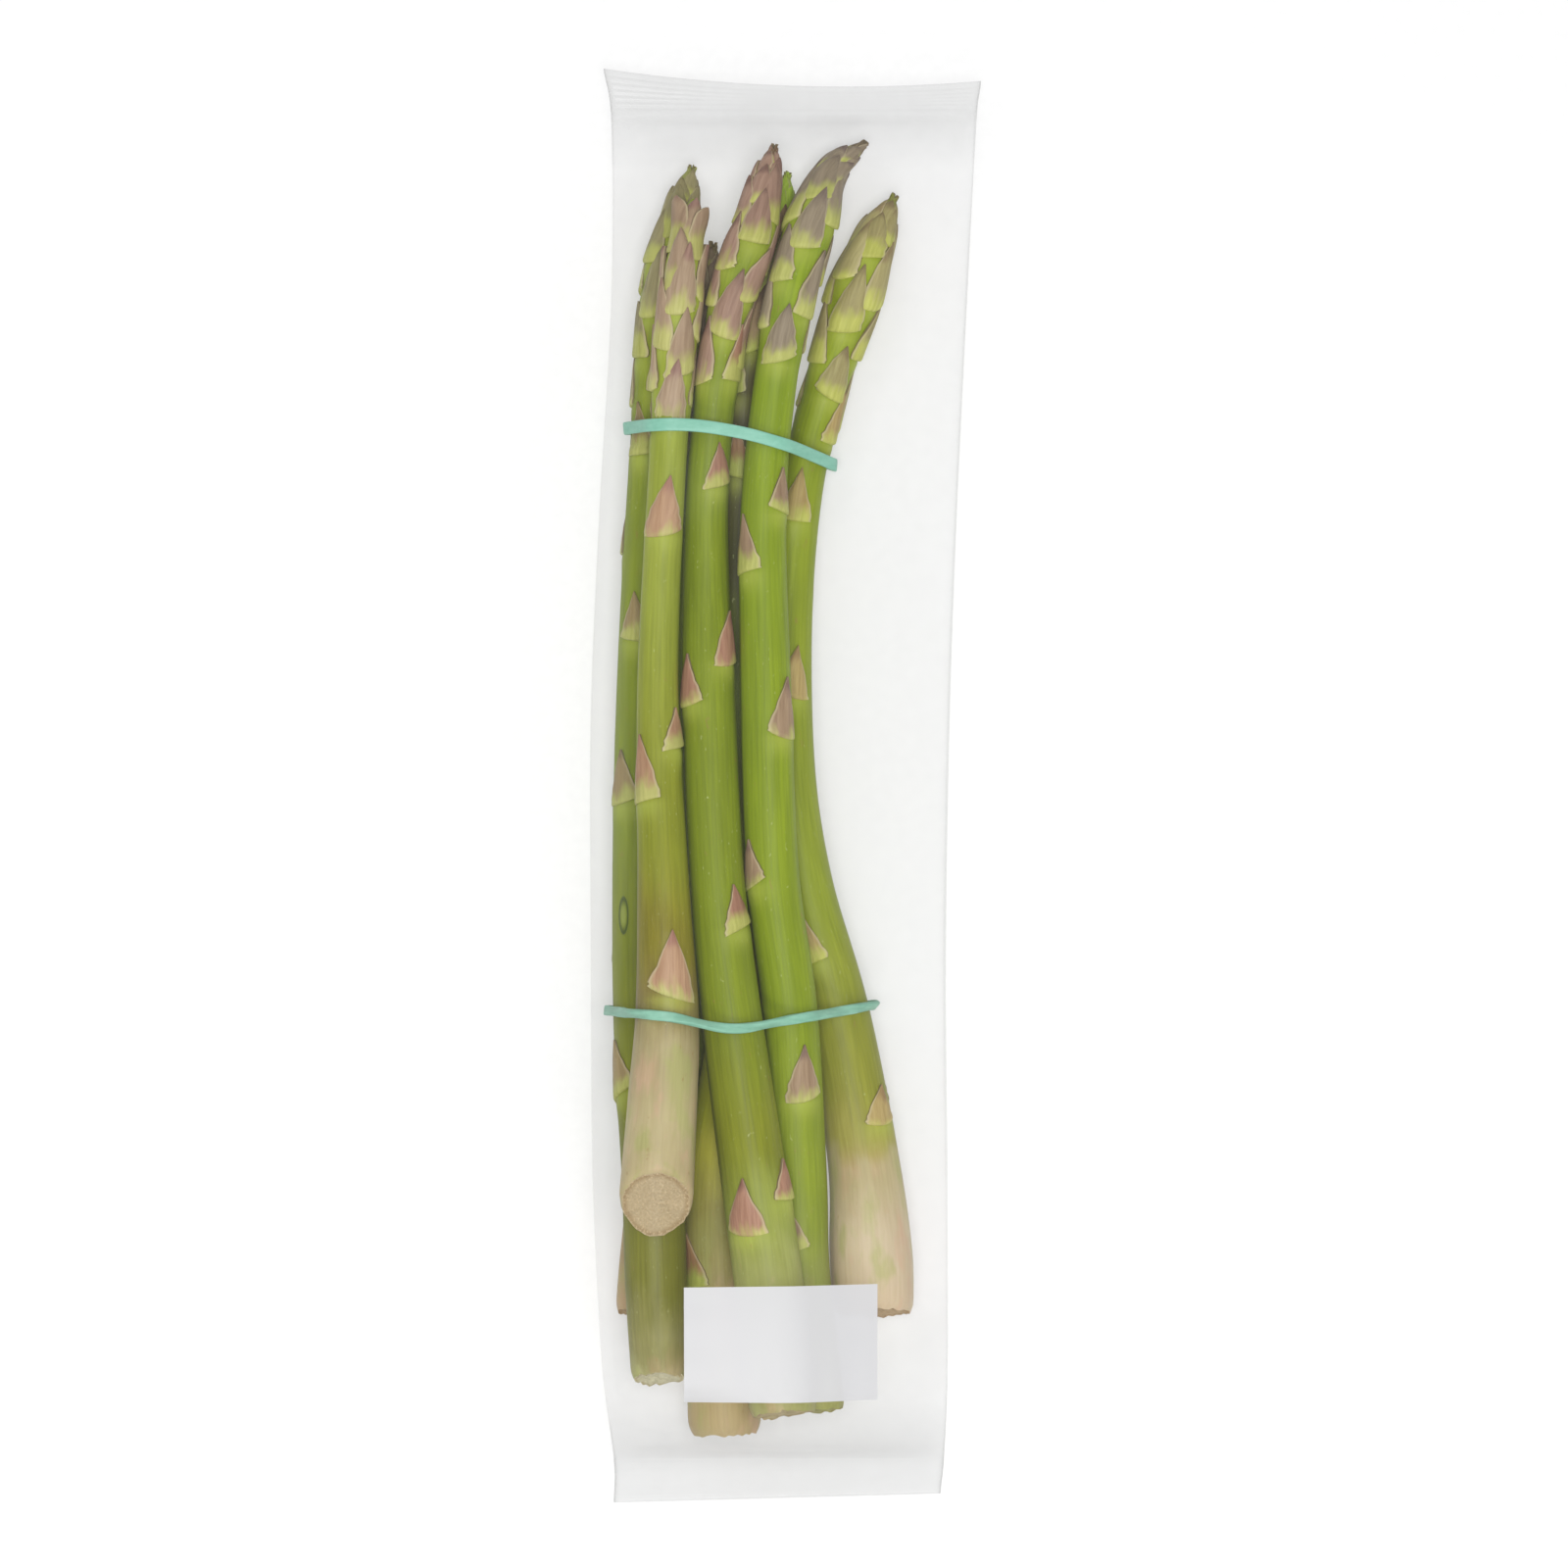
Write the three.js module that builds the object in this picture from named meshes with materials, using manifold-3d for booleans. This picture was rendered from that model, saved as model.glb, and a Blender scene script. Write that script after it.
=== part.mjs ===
// A tied bundle of green asparagus in a clear film bag, lying on its back.
// Millimetres, +Z up, +Y towards the tips; the origin is on the table under the middle of the bag.
import * as THREE from "three";
import { mergeVertices } from "three/addons/utils/BufferGeometryUtils.js";
import Module from "manifold-3d";

const wasm = await Module();
wasm.setup();

// Driving dimensions
const FILM_WALL = 0.5;           // a stand-in for film that is really about 0.04 thick
const FILM_CLEAR = 1.9;          // between the film and the stems it is stretched over
const FLOOR = 3.1;               // underside of the lowest spears, which lie on the bands
const SPEAR_GAP = 0.6;           // between two stems that lie against each other
const SCALE_GAP = 0.4;           // left between the scale leaves of neighbouring spears
const TIP_TAPER = 22;            // length over which a bud closes to its point
const TIP_BLUNT = 0.5;           // 1 is a cone, and less is a blunter bud
const HEAD_SCALES = 17;          // overlapping scales of a bud
const HEAD_PITCH = 1.6;          // first step between two of them, from the tip down
const HEAD_GROWTH = 1.075;       // each step is this much longer than the last
const SPIRAL = 137.5;            // turn from one scale to the next, degrees
const STEM_SIDES = 9;
const AXIS_STEPS = 96;

// Each spear from its butt to its tip: middle line in plan and radius [x, y, radius], the slope of
// its cut, the first angle of its spiral, and the scale leaves on its stem [y of the base, angle, length,
// half width where it is broad].
const SPEARS = {
  spear_back_left: {
    plan: [[-33.2, -121, 5.6], [-31.6, -105, 5.8], [-28.6, -84, 6], [-20.4, -51, 6.1], [-20.6, -15, 5.6],
      [-21.8, 22, 5.2], [-20.6, 62, 4.9], [-19.2, 96, 4.7], [-17.6, 112, 4.9], [-16.6, 122, 4.5]],
    slant: 0.15,
    turn: 205,
    leaves: [[-25, 265, 12], [25, 275, 12], [66, 260, 12], [-66, 250, 12]],
  },
  spear_back_centre: {
    plan: [[-13.9, -146, 8.4], [-14.6, -115, 8.3], [-15, -88, 8], [-10, -51, 6.9], [-9.2, -15, 5.7],
      [-10.9, 22, 5.2], [-10.4, 62, 5], [-9, 92, 4.8], [-4.6, 118, 5.1], [0.3, 138, 4.7]],
    slant: -0.1,
    turn: 75,
    leaves: [[-114, 140, 13], [-66, 270, 12], [-18, 250, 12], [30, 285, 13], [70, 95, 12]],
  },
  spear_right: {
    plan: [[20, -121, 9.2], [19.3, -106, 9.5], [17.6, -85, 8.2], [11.7, -51, 7.3], [4.5, -22, 6.2],
      [0.8, 4, 5.9], [0.6, 38, 5.5], [3.6, 68, 5.1], [9.6, 92, 4.8], [15.7, 111, 6], [20.4, 124.5, 6.1],
      [24.4, 133, 5.4]],
    slant: 0.12,
    turn: 140,
    leaves: [[79, 24, 12], [60, 95, 12], [20, 77, 11], [-39, 119, 15], [-77, 45, 8], [45, 300, 12],
      [-8, 280, 13], [-72, 315, 13]],
  },
  spear_left: {
    plan: [[-28.6, -136.5, 6.3], [-29.4, -111, 7.1], [-30.2, -89, 7], [-33, -51, 6.2], [-33.4, 0, 5.7],
      [-32, 45, 5.4], [-29.6, 88, 4.9], [-26.8, 117, 5.1], [-21.5, 139.5, 4.9]],
    slant: 0.3,
    turn: 20,
    leaves: [[75, 123, 12], [33, 106, 11], [-4, 131, 12], [-70, 150, 12], [52, 215, 12], [12, 262, 13],
      [-38, 235, 12]],
  },
  spear_front_right: {
    plan: [[7.2, -142.8, 6.6], [3.6, -111, 6.7], [2.8, -89, 6.7], [0.9, -51, 6.4], [-2.9, -20, 6.1],
      [-4.4, 22, 5.8], [-5, 62, 5.2], [-2.2, 92, 4.9], [1.8, 113, 5.2], [6.4, 129, 5.4], [10.5, 139.5, 4.5],
      [17.4, 145.5, 3.9]],
    slant: 0.1,
    turn: 260,
    leaves: [[62, 38, 10], [48, 135, 13], [11, 47, 13], [-22, 146, 10], [-70, 70, 12], [-105, 110, 12]],
  },
  spear_front_centre: {
    plan: [[-0.3, -143, 7.7], [-3.9, -111, 7.9], [-7, -89, 7.6], [-12.3, -51, 6.9], [-15.6, -20, 6.3],
      [-17.4, 22, 6.1], [-17.9, 46, 5.3], [-17.5, 72, 4.9], [-13.5, 104, 4.6], [-7, 126, 5.4],
      [-2.8, 144, 4.9]],
    slant: 0.12,
    turn: 320,
    leaves: [[92, 32, 13], [68, 56, 10], [27, 38, 12], [18, 142, 11], [-33, 46, 10], [-94, 26, 9],
      [-100, 118, 12, 5]],
  },
  spear_front_left: {
    plan: [[-29.6, -101.5, 8.5], [-27.6, -70, 7.9], [-26.7, -51, 7.2], [-27.6, -22, 5.9], [-28.8, 22, 4.7],
      [-27, 67, 4.3], [-24.8, 100, 4.4], [-22.6, 122, 4.9], [-20.8, 133, 4.7]],
    slant: 0.85,
    turn: 45,
    leaves: [[57, 95, 13, 5], [8, 31, 9], [-4, 133, 15], [-47, 78, 14, 5.6]],
  },
};

// Rubber bands: middle height on the bundle, width, thickness, and the route across the spears [x, y].
const BANDS = {
  band_upper: {
    y: 78,
    width: 2.9,
    thick: 1,
    route: [[-40, 80.7], [-24, 81.4], [-11, 79.8], [0, 76.8], [14, 71.4]],
  },
  band_lower: {
    y: -52,
    width: 2.3,
    thick: 1.2,
    route: [[-42, -51], [-27, -52], [-12.5, -54.8], [1, -52.9], [22, -49.6]],
  },
};
const BAND_GAP = 0.75;
const BAND_POINTS = 36;

// Film bag: edges in plan [y, left x, right x], flat seals across both ends and two vents in its back.
const BAG_EDGES = [[-163, -39, 35.2], [-153, -39, 36], [-130, -42, 37], [-90, -44, 37],
  [-40, -44.42, 36.6], [13, -44.48, 37.4], [60, -42.6, 39], [110, -39.8, 41.4], [150, -39.6, 43.4],
  [163, -41.4, 44.5]];
const BAG_END = 163;
const BAG_HALF = 43;
const SEAL = 10.5;
const SEAL_TUCK = 1.5;           // how much narrower the inside ends at a seal
const SEAL_HEIGHT = { butts: 13, tips: 9 };
const SEAL_RISE = 118;           // from here to the seals the folds lift off the table
const FOLD_HEIGHT = 0.9;
const FILM_FALL = 0.4;           // fall of the film along the bag, from a high spear to a low one
const END_FALL = 5;              // its fall past the last cut ends and tips
const END_REACH = 6;             // distance past them at which that fall begins
const END_ZONE = [138, 149];     // distance from the middle over which the fall steepens
const BAG_COLUMNS = 18;
const BAG_ROWS = 18;
const SHOULDER = 5.6;            // from the last full row of the bag to the one before it
const VENTS = [[27, 55], [27, 40]];
const VENT_RADIUS = 3;

const rad = THREE.MathUtils.degToRad;

// Repeatable scatter between -1 and 1.
function scatter(a, b) {
  const wave = Math.sin(a * 12.9898 + b * 78.233) * 43758.5453;
  return 2 * (wave - Math.floor(wave)) - 1;
}

function smoothCurve(points) {
  return new THREE.SplineCurve(points.map(([x, y]) => new THREE.Vector2(x, y))).getPoints(180);
}

for (const band of Object.values(BANDS)) band.line = smoothCurve(band.route);

// Middle lines. The height of a spear comes from the ones placed before it: it lies on them or on the
// film, and then sags between its supports like the springy stalk it is.
const placed = [];
for (const [name, spear] of Object.entries(SPEARS)) {
  const plan = new THREE.CatmullRomCurve3(
    spear.plan.map(([x, y, r]) => new THREE.Vector3(x, y, r)), false, "catmullrom", 0.5);
  const points = plan.getPoints(AXIS_STEPS);
  spear.axis = points.map((p) => new THREE.Vector3(p.x, p.y, 0));
  spear.radius = points.map((p) => p.z);
  spear.toTip = new Array(points.length).fill(0);
  for (let i = points.length - 2; i >= 0; i--) {
    const step = Math.hypot(points[i].x - points[i + 1].x, points[i].y - points[i + 1].y);
    spear.toTip[i] = spear.toTip[i + 1] + step;
  }
  const need = points.map((p, i) => {
    const own = coreRadius(spear.radius[i], spear.toTip[i]) + headRise(spear.toTip[i]);
    let height = FLOOR + own;
    for (const under of placed) {
      const at = sectionAt(under, p.y);
      if (!at) continue;
      const reach = own + at.r + SPEAR_GAP;
      const across = Math.abs(p.x - at.x);
      if (across < reach) height = Math.max(height, at.z + Math.sqrt(reach * reach - across * across));
    }
    return height;
  });
  let height = need.slice();
  for (let pass = 0; pass < 110; pass++) {
    const last = height;
    height = last.map((z, i) => {
      const before = last[Math.max(0, i - 1)];
      const after = last[Math.min(last.length - 1, i + 1)];
      const level = (before + z + after) / 3;
      return pass < 100 ? Math.max(need[i], level) : level;
    });
  }
  height.forEach((z, i) => {
    spear.axis[i].z = z + 0.15;
  });
  spear.name = name;
  placed.push(spear);
}

function coreRadius(radius, toTip) {
  return toTip < TIP_TAPER ? radius * Math.pow(Math.max(toTip, 0.02) / TIP_TAPER, TIP_BLUNT) : radius;
}

// How far the scales of a bud stand off its core.
function headRise(toTip) {
  return toTip < 45 ? 0.7 : 0.7 * Math.max(0, 1 - (toTip - 45) / 10);
}

// Where a spear crosses a plane of constant y, or null past its ends.
function sectionAt(spear, y) {
  const axis = spear.axis;
  if (y < axis[0].y || y > axis[axis.length - 1].y) return null;
  let i = 0;
  while (i < axis.length - 2 && axis[i + 1].y < y) i++;
  const t = (y - axis[i].y) / (axis[i + 1].y - axis[i].y || 1);
  const toTip = THREE.MathUtils.lerp(spear.toTip[i], spear.toTip[i + 1], t);
  const radius = THREE.MathUtils.lerp(spear.radius[i], spear.radius[i + 1], t);
  return {
    x: THREE.MathUtils.lerp(axis[i].x, axis[i + 1].x, t),
    z: THREE.MathUtils.lerp(axis[i].z, axis[i + 1].z, t),
    r: coreRadius(radius, toTip) + headRise(toTip),
  };
}

// A point of the middle line at a distance from the tip, with the directions along, sideways and up.
function stationAt(spear, toTip) {
  const last = spear.axis.length - 1;
  let i = last - 1;
  while (i > 0 && spear.toTip[i] < toTip) i--;
  const t = (spear.toTip[i] - toTip) / (spear.toTip[i] - spear.toTip[i + 1]);
  const place = spear.axis[i].clone().lerp(spear.axis[i + 1], t);
  const lo = spear.axis[Math.max(0, i - 2)];
  const hi = spear.axis[Math.min(last, i + 3)];
  const along = hi.clone().sub(lo).normalize();
  const up = new THREE.Vector3(0, 0, 1).addScaledVector(along, -along.z).normalize();
  const side = along.clone().cross(up);
  const k = THREE.MathUtils.clamp(t, 0, 1);
  const radius = THREE.MathUtils.lerp(spear.radius[i], spear.radius[i + 1], k);
  return { place, along, up, side, core: coreRadius(radius, toTip) };
}

function onSpear(station, angle, out, shift = 0) {
  return station.place.clone()
    .addScaledVector(station.side, Math.cos(angle) * out)
    .addScaledVector(station.up, Math.sin(angle) * out)
    .addScaledVector(station.along, shift);
}

// A scale leaf that would reach a neighbour or lie under a band is pressed back against its own stem.
function pressed(spear, station, angle, rise) {
  let kept = rise;
  for (let turn = 0; turn < 12; turn++) {
    const point = onSpear(station, angle, station.core + kept);
    let excess = 0;
    for (const band of Object.values(BANDS)) {
      if (Math.abs(point.y - bandHeight(band, point.x)) < band.width / 2 + 2.5) {
        excess = Math.max(excess, kept - 0.1);
      }
    }
    for (const other of Object.values(SPEARS)) {
      if (other === spear) continue;
      const free = clearOf(other, point) - SCALE_GAP;
      excess = Math.max(excess, (kept - free) / 2);
    }
    if (excess < 0.01) break;
    kept -= excess;
  }
  return Math.max(kept, -0.3);
}

// Distance from a point to the stem of a spear.
function clearOf(spear, point) {
  let best = Infinity;
  for (let i = 0; i < spear.axis.length; i++) {
    if (Math.abs(spear.axis[i].y - point.y) > 14) continue;
    const gap = spear.axis[i].distanceTo(point) - coreRadius(spear.radius[i], spear.toTip[i]);
    best = Math.min(best, gap);
  }
  return best;
}

function bandHeight(band, x) {
  return onCurve(band.line, x);
}

// The second value of a curve's points at a given first value.
function onCurve(points, want) {
  let i = 1;
  while (i < points.length - 1 && points[i].x < want) i++;
  const t = (want - points[i - 1].x) / (points[i].x - points[i - 1].x);
  return THREE.MathUtils.lerp(points[i - 1].y, points[i].y, THREE.MathUtils.clamp(t, 0, 1));
}

function solid(corners, faces) {
  const geometry = new THREE.BufferGeometry();
  geometry.setAttribute("position", new THREE.Float32BufferAttribute(corners.flatMap((p) => p.toArray()), 3));
  geometry.setIndex(faces);
  return toManifold(geometry);
}

function toManifold(source) {
  const bare = source.clone();
  bare.deleteAttribute("normal");
  bare.deleteAttribute("uv");
  const merged = mergeVertices(bare, 1e-4);
  return new wasm.Manifold(new wasm.Mesh({
    numProp: 3,
    vertProperties: new Float32Array(merged.attributes.position.array),
    triVerts: new Uint32Array(merged.index.array),
  }));
}

// The outer skin of the largest body: pockets that the overlapping scales close are filled.
function largestBody(made) {
  return made.decompose().sort((a, b) => b.volume() - a.volume())[0];
}

function meshOf(name, made, color, roughness, extra = {}) {
  const raw = made.getMesh();
  const geometry = new THREE.BufferGeometry();
  geometry.setAttribute("position", new THREE.Float32BufferAttribute(raw.vertProperties, 3));
  geometry.setIndex(new THREE.Uint32BufferAttribute(raw.triVerts, 1));
  geometry.computeVertexNormals();
  const material = new THREE.MeshStandardMaterial({ color, roughness, metalness: 0, ...extra });
  const mesh = new THREE.Mesh(geometry, material);
  mesh.name = name;
  return mesh;
}

// Stem: rings from the pointed core of the bud down to the cut butt.
function stemSolid(spear) {
  const length = spear.toTip[0];
  const stations = [2.5, 7, 13, 20, 28, 38];
  const spans = Math.round((length - 38) / 15);
  for (let i = 1; i <= spans; i++) stations.push(38 + ((length - 38) * i) / spans);
  const corners = [stationAt(spear, 0).place];
  const faces = [];
  stations.forEach((toTip, ring) => {
    const station = stationAt(spear, toTip);
    for (let k = 0; k < STEM_SIDES; k++) {
      const angle = (2 * Math.PI * (k + 0.5)) / STEM_SIDES;
      const cut = ring === stations.length - 1 ? spear.slant * station.core * (Math.sin(angle) + 1) : 0;
      corners.push(onSpear(station, angle, station.core, cut));
    }
  });
  const index = (ring, k) => 1 + ring * STEM_SIDES + (k % STEM_SIDES);
  for (let k = 0; k < STEM_SIDES; k++) {
    faces.push(0, index(0, k + 1), index(0, k));
    for (let ring = 0; ring < stations.length - 1; ring++) {
      faces.push(index(ring, k), index(ring + 1, k + 1), index(ring + 1, k));
      faces.push(index(ring, k), index(ring, k + 1), index(ring + 1, k + 1));
    }
  }
  const end = stations.length - 1;
  for (let k = 1; k < STEM_SIDES - 1; k++) faces.push(index(end, 0), index(end, k), index(end, k + 1));
  return solid(corners, faces);
}

// Scale leaf: a pointed triangle that hugs the stem, thick in the middle, its edges and root sunk in.
function leafSolid(spear, toTip, angle, length, halfWidth, rise) {
  const corners = [];
  for (const [part, width, lift, edge] of [[0, 0.85, 0.5, -0.25], [0.45, 1, 1, -0.1]]) {
    const station = stationAt(spear, toTip - part * length);
    const reach = Math.min((width * halfWidth) / Math.max(station.core, 1.2), 1.2);
    const top = pressed(spear, station, angle, lift * rise);
    const rim = Math.max(station.core + Math.min(edge, top - 0.25), 0.4);
    corners.push(onSpear(station, angle - reach, rim));
    corners.push(onSpear(station, angle, station.core + top));
    corners.push(onSpear(station, angle + reach, rim));
    corners.push(onSpear(station, angle, Math.max(station.core - 1.6, 0.1)));
  }
  const point = stationAt(spear, toTip - length);
  corners.push(onSpear(point, angle, Math.max(point.core, 0.4) + pressed(spear, point, angle, rise * 0.7)));
  return solid(corners, [0, 1, 3, 1, 2, 3, 0, 5, 1, 0, 4, 5, 1, 6, 2, 1, 5, 6, 0, 7, 4, 0, 3, 7,
    2, 7, 3, 2, 6, 7, 4, 8, 5, 5, 8, 6, 4, 7, 8, 6, 8, 7]);
}

const bundle = new THREE.Group();
bundle.name = "asparagus_bundle";

// Spears, each a stem with its bud and scale leaves grown on it.
const STEM_GREEN = { spear_left: 0x7c9038, spear_front_left: 0x95a546, spear_right: 0x92a43c };
Object.entries(SPEARS).forEach(([name, spear], order) => {
  let made = stemSolid(spear);
  let toTip = 3.2;
  let step = HEAD_PITCH;
  for (let k = 0; k < HEAD_SCALES; k++) {
    const angle = rad(spear.turn + SPIRAL * k + 14 * scatter(order, k));
    const length = Math.min(2.6 + 0.74 * toTip, 15) * (1 + 0.08 * scatter(k, order + 9));
    const halfWidth = Math.min(2.2 + 0.11 * toTip, 4.2);
    made = made.add(leafSolid(spear, toTip, angle, length, halfWidth, 1.25));
    toTip += step;
    step *= HEAD_GROWTH;
  }
  for (const [y, turn, length, halfWidth = 3.9] of spear.leaves) {
    const at = spear.axis.findIndex((p) => p.y > y);
    made = made.add(leafSolid(spear, spear.toTip[at], rad(turn), length, halfWidth, 0.95));
  }
  bundle.add(meshOf(name, largestBody(made.simplify(0.2)), STEM_GREEN[name] ?? 0x8ca236, 0.5));
});

// Convex outline round a set of circles [x, z, radius], as points at evenly turned outward directions.
function outlineRound(circles, directions) {
  const outline = [];
  for (let k = 0; k < directions; k++) {
    const angle = (2 * Math.PI * k) / directions;
    const nx = Math.cos(angle);
    const nz = Math.sin(angle);
    let best = null;
    for (const [x, z, r] of circles) {
      const reach = x * nx + z * nz + r;
      if (!best || reach > best.reach) best = { reach, x: x + r * nx, z: z + r * nz };
    }
    outline.push(new THREE.Vector2(best.x, best.z));
  }
  return outline;
}

// Evenly spaced points along an open chain of points.
function evenly(chain, count) {
  const length = [0];
  for (let i = 1; i < chain.length; i++) length.push(length[i - 1] + chain[i].distanceTo(chain[i - 1]));
  const out = [];
  for (let k = 0; k < count; k++) {
    const want = (length[length.length - 1] * k) / (count - 1);
    let i = 1;
    while (i < chain.length - 1 && length[i] < want) i++;
    const t = (want - length[i - 1]) / (length[i] - length[i - 1] || 1);
    out.push(chain[i - 1].clone().lerp(chain[i], t));
  }
  return out;
}

function circlesAt(y, extra) {
  const overBand = Object.values(BANDS).some((band) => Math.abs(band.y - y) < 8) ? 1 : 0;
  return Object.values(SPEARS).map((spear) => sectionAt(spear, y)).filter(Boolean)
    .map((at) => [at.x, at.z, at.r + extra + overBand]);
}

// Rubber bands, each a flat closed loop pulled straight from spear to spear.
for (const [name, band] of Object.entries(BANDS)) {
  const circles = Object.values(SPEARS).map((spear) => {
    let at = sectionAt(spear, band.y);
    for (let turn = 0; turn < 4; turn++) at = sectionAt(spear, bandHeight(band, at.x));
    return [at.x, at.z, at.r + BAND_GAP];
  });
  const loop = outlineRound(circles, 360);
  loop.push(loop[0].clone());
  const inner = evenly(loop, BAND_POINTS + 1).slice(0, BAND_POINTS);
  const corners = [];
  inner.forEach((point, k) => {
    const before = inner[(k + BAND_POINTS - 1) % BAND_POINTS];
    const after = inner[(k + 1) % BAND_POINTS];
    const out = new THREE.Vector2(after.y - before.y, before.x - after.x).normalize();
    const y = bandHeight(band, point.x);
    const top = 0.15 + band.thick;
    for (const [lift, across] of [[0.15, -0.5], [top, -0.5], [top, 0.5], [0.15, 0.5]]) {
      const side = y + across * band.width;
      corners.push(new THREE.Vector3(point.x + out.x * lift, side, point.y + out.y * lift));
    }
  });
  const faces = [];
  for (let k = 0; k < BAND_POINTS; k++) {
    const here = 4 * k;
    const next = 4 * ((k + 1) % BAND_POINTS);
    for (let side = 0; side < 4; side++) {
      const other = (side + 1) % 4;
      faces.push(here + side, here + other, next + other, here + side, next + other, next + side);
    }
  }
  bundle.add(meshOf(name, solid(corners, faces), 0x86d8bc, 0.55));
}

// Film bag: rows of its stretched outline from end to end, pressed flat at the seals.
const edgeLeft = smoothCurve(BAG_EDGES.map(([y, left]) => [y, left]));
const edgeRight = smoothCurve(BAG_EDGES.map(([y, , right]) => [y, right]));

// Inside of one row, from the right fold over the top to the left fold and back underneath. Along the bag the
// film falls away from a high spear, and closes from above and below towards the height of its folds.
function bagRow(y, flat, reach, tuck = 0) {
  const fold = flat ? 0.1 : 0.4;
  const lift = THREE.MathUtils.smoothstep(Math.abs(y), SEAL_RISE, BAG_END - SEAL);
  const seat = THREE.MathUtils.lerp(FOLD_HEIGHT, y < 0 ? SEAL_HEIGHT.butts : SEAL_HEIGHT.tips, lift);
  const inset = fold + 1.4 * FILM_WALL + tuck;
  const circles = [[onCurve(edgeLeft, y) + inset, seat, fold], [onCurve(edgeRight, y) - inset, seat, fold]];
  if (!flat) {
    const ending = THREE.MathUtils.smoothstep(Math.abs(y), ...END_ZONE);
    const fall = THREE.MathUtils.lerp(FILM_FALL, END_FALL, ending);
    const level = THREE.MathUtils.lerp(reach, END_REACH, ending);
    for (let away = -60; away <= 60; away += 2) {
      const drop = fall * Math.max(0, Math.abs(away) - level);
      for (const [x, z, r] of circlesAt(y + away, FILM_CLEAR)) {
        const share = Math.max(0, 1 - drop / Math.max(z + r - seat, 1));
        circles.push([x, seat + (z - seat) * share, Math.max(r * share, fold)]);
      }
    }
  }
  const outline = outlineRound(circles, 360);
  for (const point of outline) point.y = Math.max(point.y, FILM_WALL);
  const over = evenly(outline.slice(0, 181), BAG_COLUMNS);
  const under = evenly([...outline.slice(180), outline[0]], BAG_COLUMNS);
  return [...over.slice(0, -1), ...under.slice(0, -1)];
}

// The same row moved outwards by the thickness of the wall.
function thickened(outline, wall) {
  return outline.map((point, k) => {
    const before = outline[(k + outline.length - 1) % outline.length];
    const after = outline[(k + 1) % outline.length];
    const first = new THREE.Vector2(point.y - before.y, before.x - point.x).normalize();
    const second = new THREE.Vector2(after.y - point.y, point.x - after.x).normalize();
    const out = first.clone().add(second).normalize();
    return point.clone().addScaledVector(out, wall / Math.max(out.dot(first), 0.72));
  });
}

function bagSolid(wall) {
  const rows = [];
  const ends = wall > 0 ? [BAG_END - SEAL, BAG_END] : [BAG_END - SEAL];
  const tuck = wall > 0 ? 0 : SEAL_TUCK;
  for (const y of ends) {
    rows.push({ y: -y, outline: thickened(bagRow(-y, true, 0, tuck), wall) });
    rows.push({ y, outline: thickened(bagRow(y, true, 0, tuck), wall) });
  }
  const full = BAG_END - SEAL - 3.4;
  const heights = [SHOULDER - full, full - SHOULDER];
  for (let k = 0; k <= BAG_ROWS; k++) heights.push(full * (-1 + (2 * k) / BAG_ROWS));
  for (const y of heights) {
    rows.push({ y, outline: thickened(bagRow(y, false, (1.2 * full) / BAG_ROWS + 4), wall) });
  }
  rows.sort((a, b) => a.y - b.y);
  const count = rows[0].outline.length;
  const corners = [];
  for (const { y, outline } of rows) {
    for (const point of outline) {
      const bow = Math.abs(y) > BAG_END - 1 ? endBow(Math.sign(y), point.x / BAG_HALF) : 0;
      corners.push(new THREE.Vector3(point.x, y + bow, point.y));
    }
  }
  const faces = [];
  for (let row = 0; row < rows.length - 1; row++) {
    for (let k = 0; k < count; k++) {
      const a = row * count + k;
      const b = row * count + ((k + 1) % count);
      faces.push(a, b + count, b, a, a + count, b + count);
    }
  }
  const top = (rows.length - 1) * count;
  const half = count / 2;
  for (let k = 0; k < half; k++) {
    const facing = (count - k) % count;
    const next = count - k - 1;
    faces.push(k, k + 1, next);
    faces.push(top + k, top + next, top + k + 1);
    if (k > 0) faces.push(k, next, facing);
    if (k > 0) faces.push(top + k, top + facing, top + next);
  }
  return solid(corners, faces);
}

// The sealed ends are not quite straight: the top edge dips in the middle and the lower one slopes.
function endBow(end, across) {
  return end > 0 ? -3.9 - 1.6 * across + 2.5 * across * across : 1.1 + 1.2 * across;
}

let bag = bagSolid(FILM_WALL).subtract(bagSolid(0));
for (const [x, y] of VENTS) {
  const vent = new THREE.CylinderGeometry(VENT_RADIUS, VENT_RADIUS, 3, 16);
  vent.rotateX(Math.PI / 2).translate(x, y, 0.5);
  bag = bag.subtract(toManifold(vent));
}
bundle.add(meshOf("film_bag", bag, 0xf2f5f3, 0.2, { transparent: true, opacity: 0.2 }));

export default bundle;
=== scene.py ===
# A tied bundle of green asparagus in a clear film bag, lying on its back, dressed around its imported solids.
import math

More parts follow.
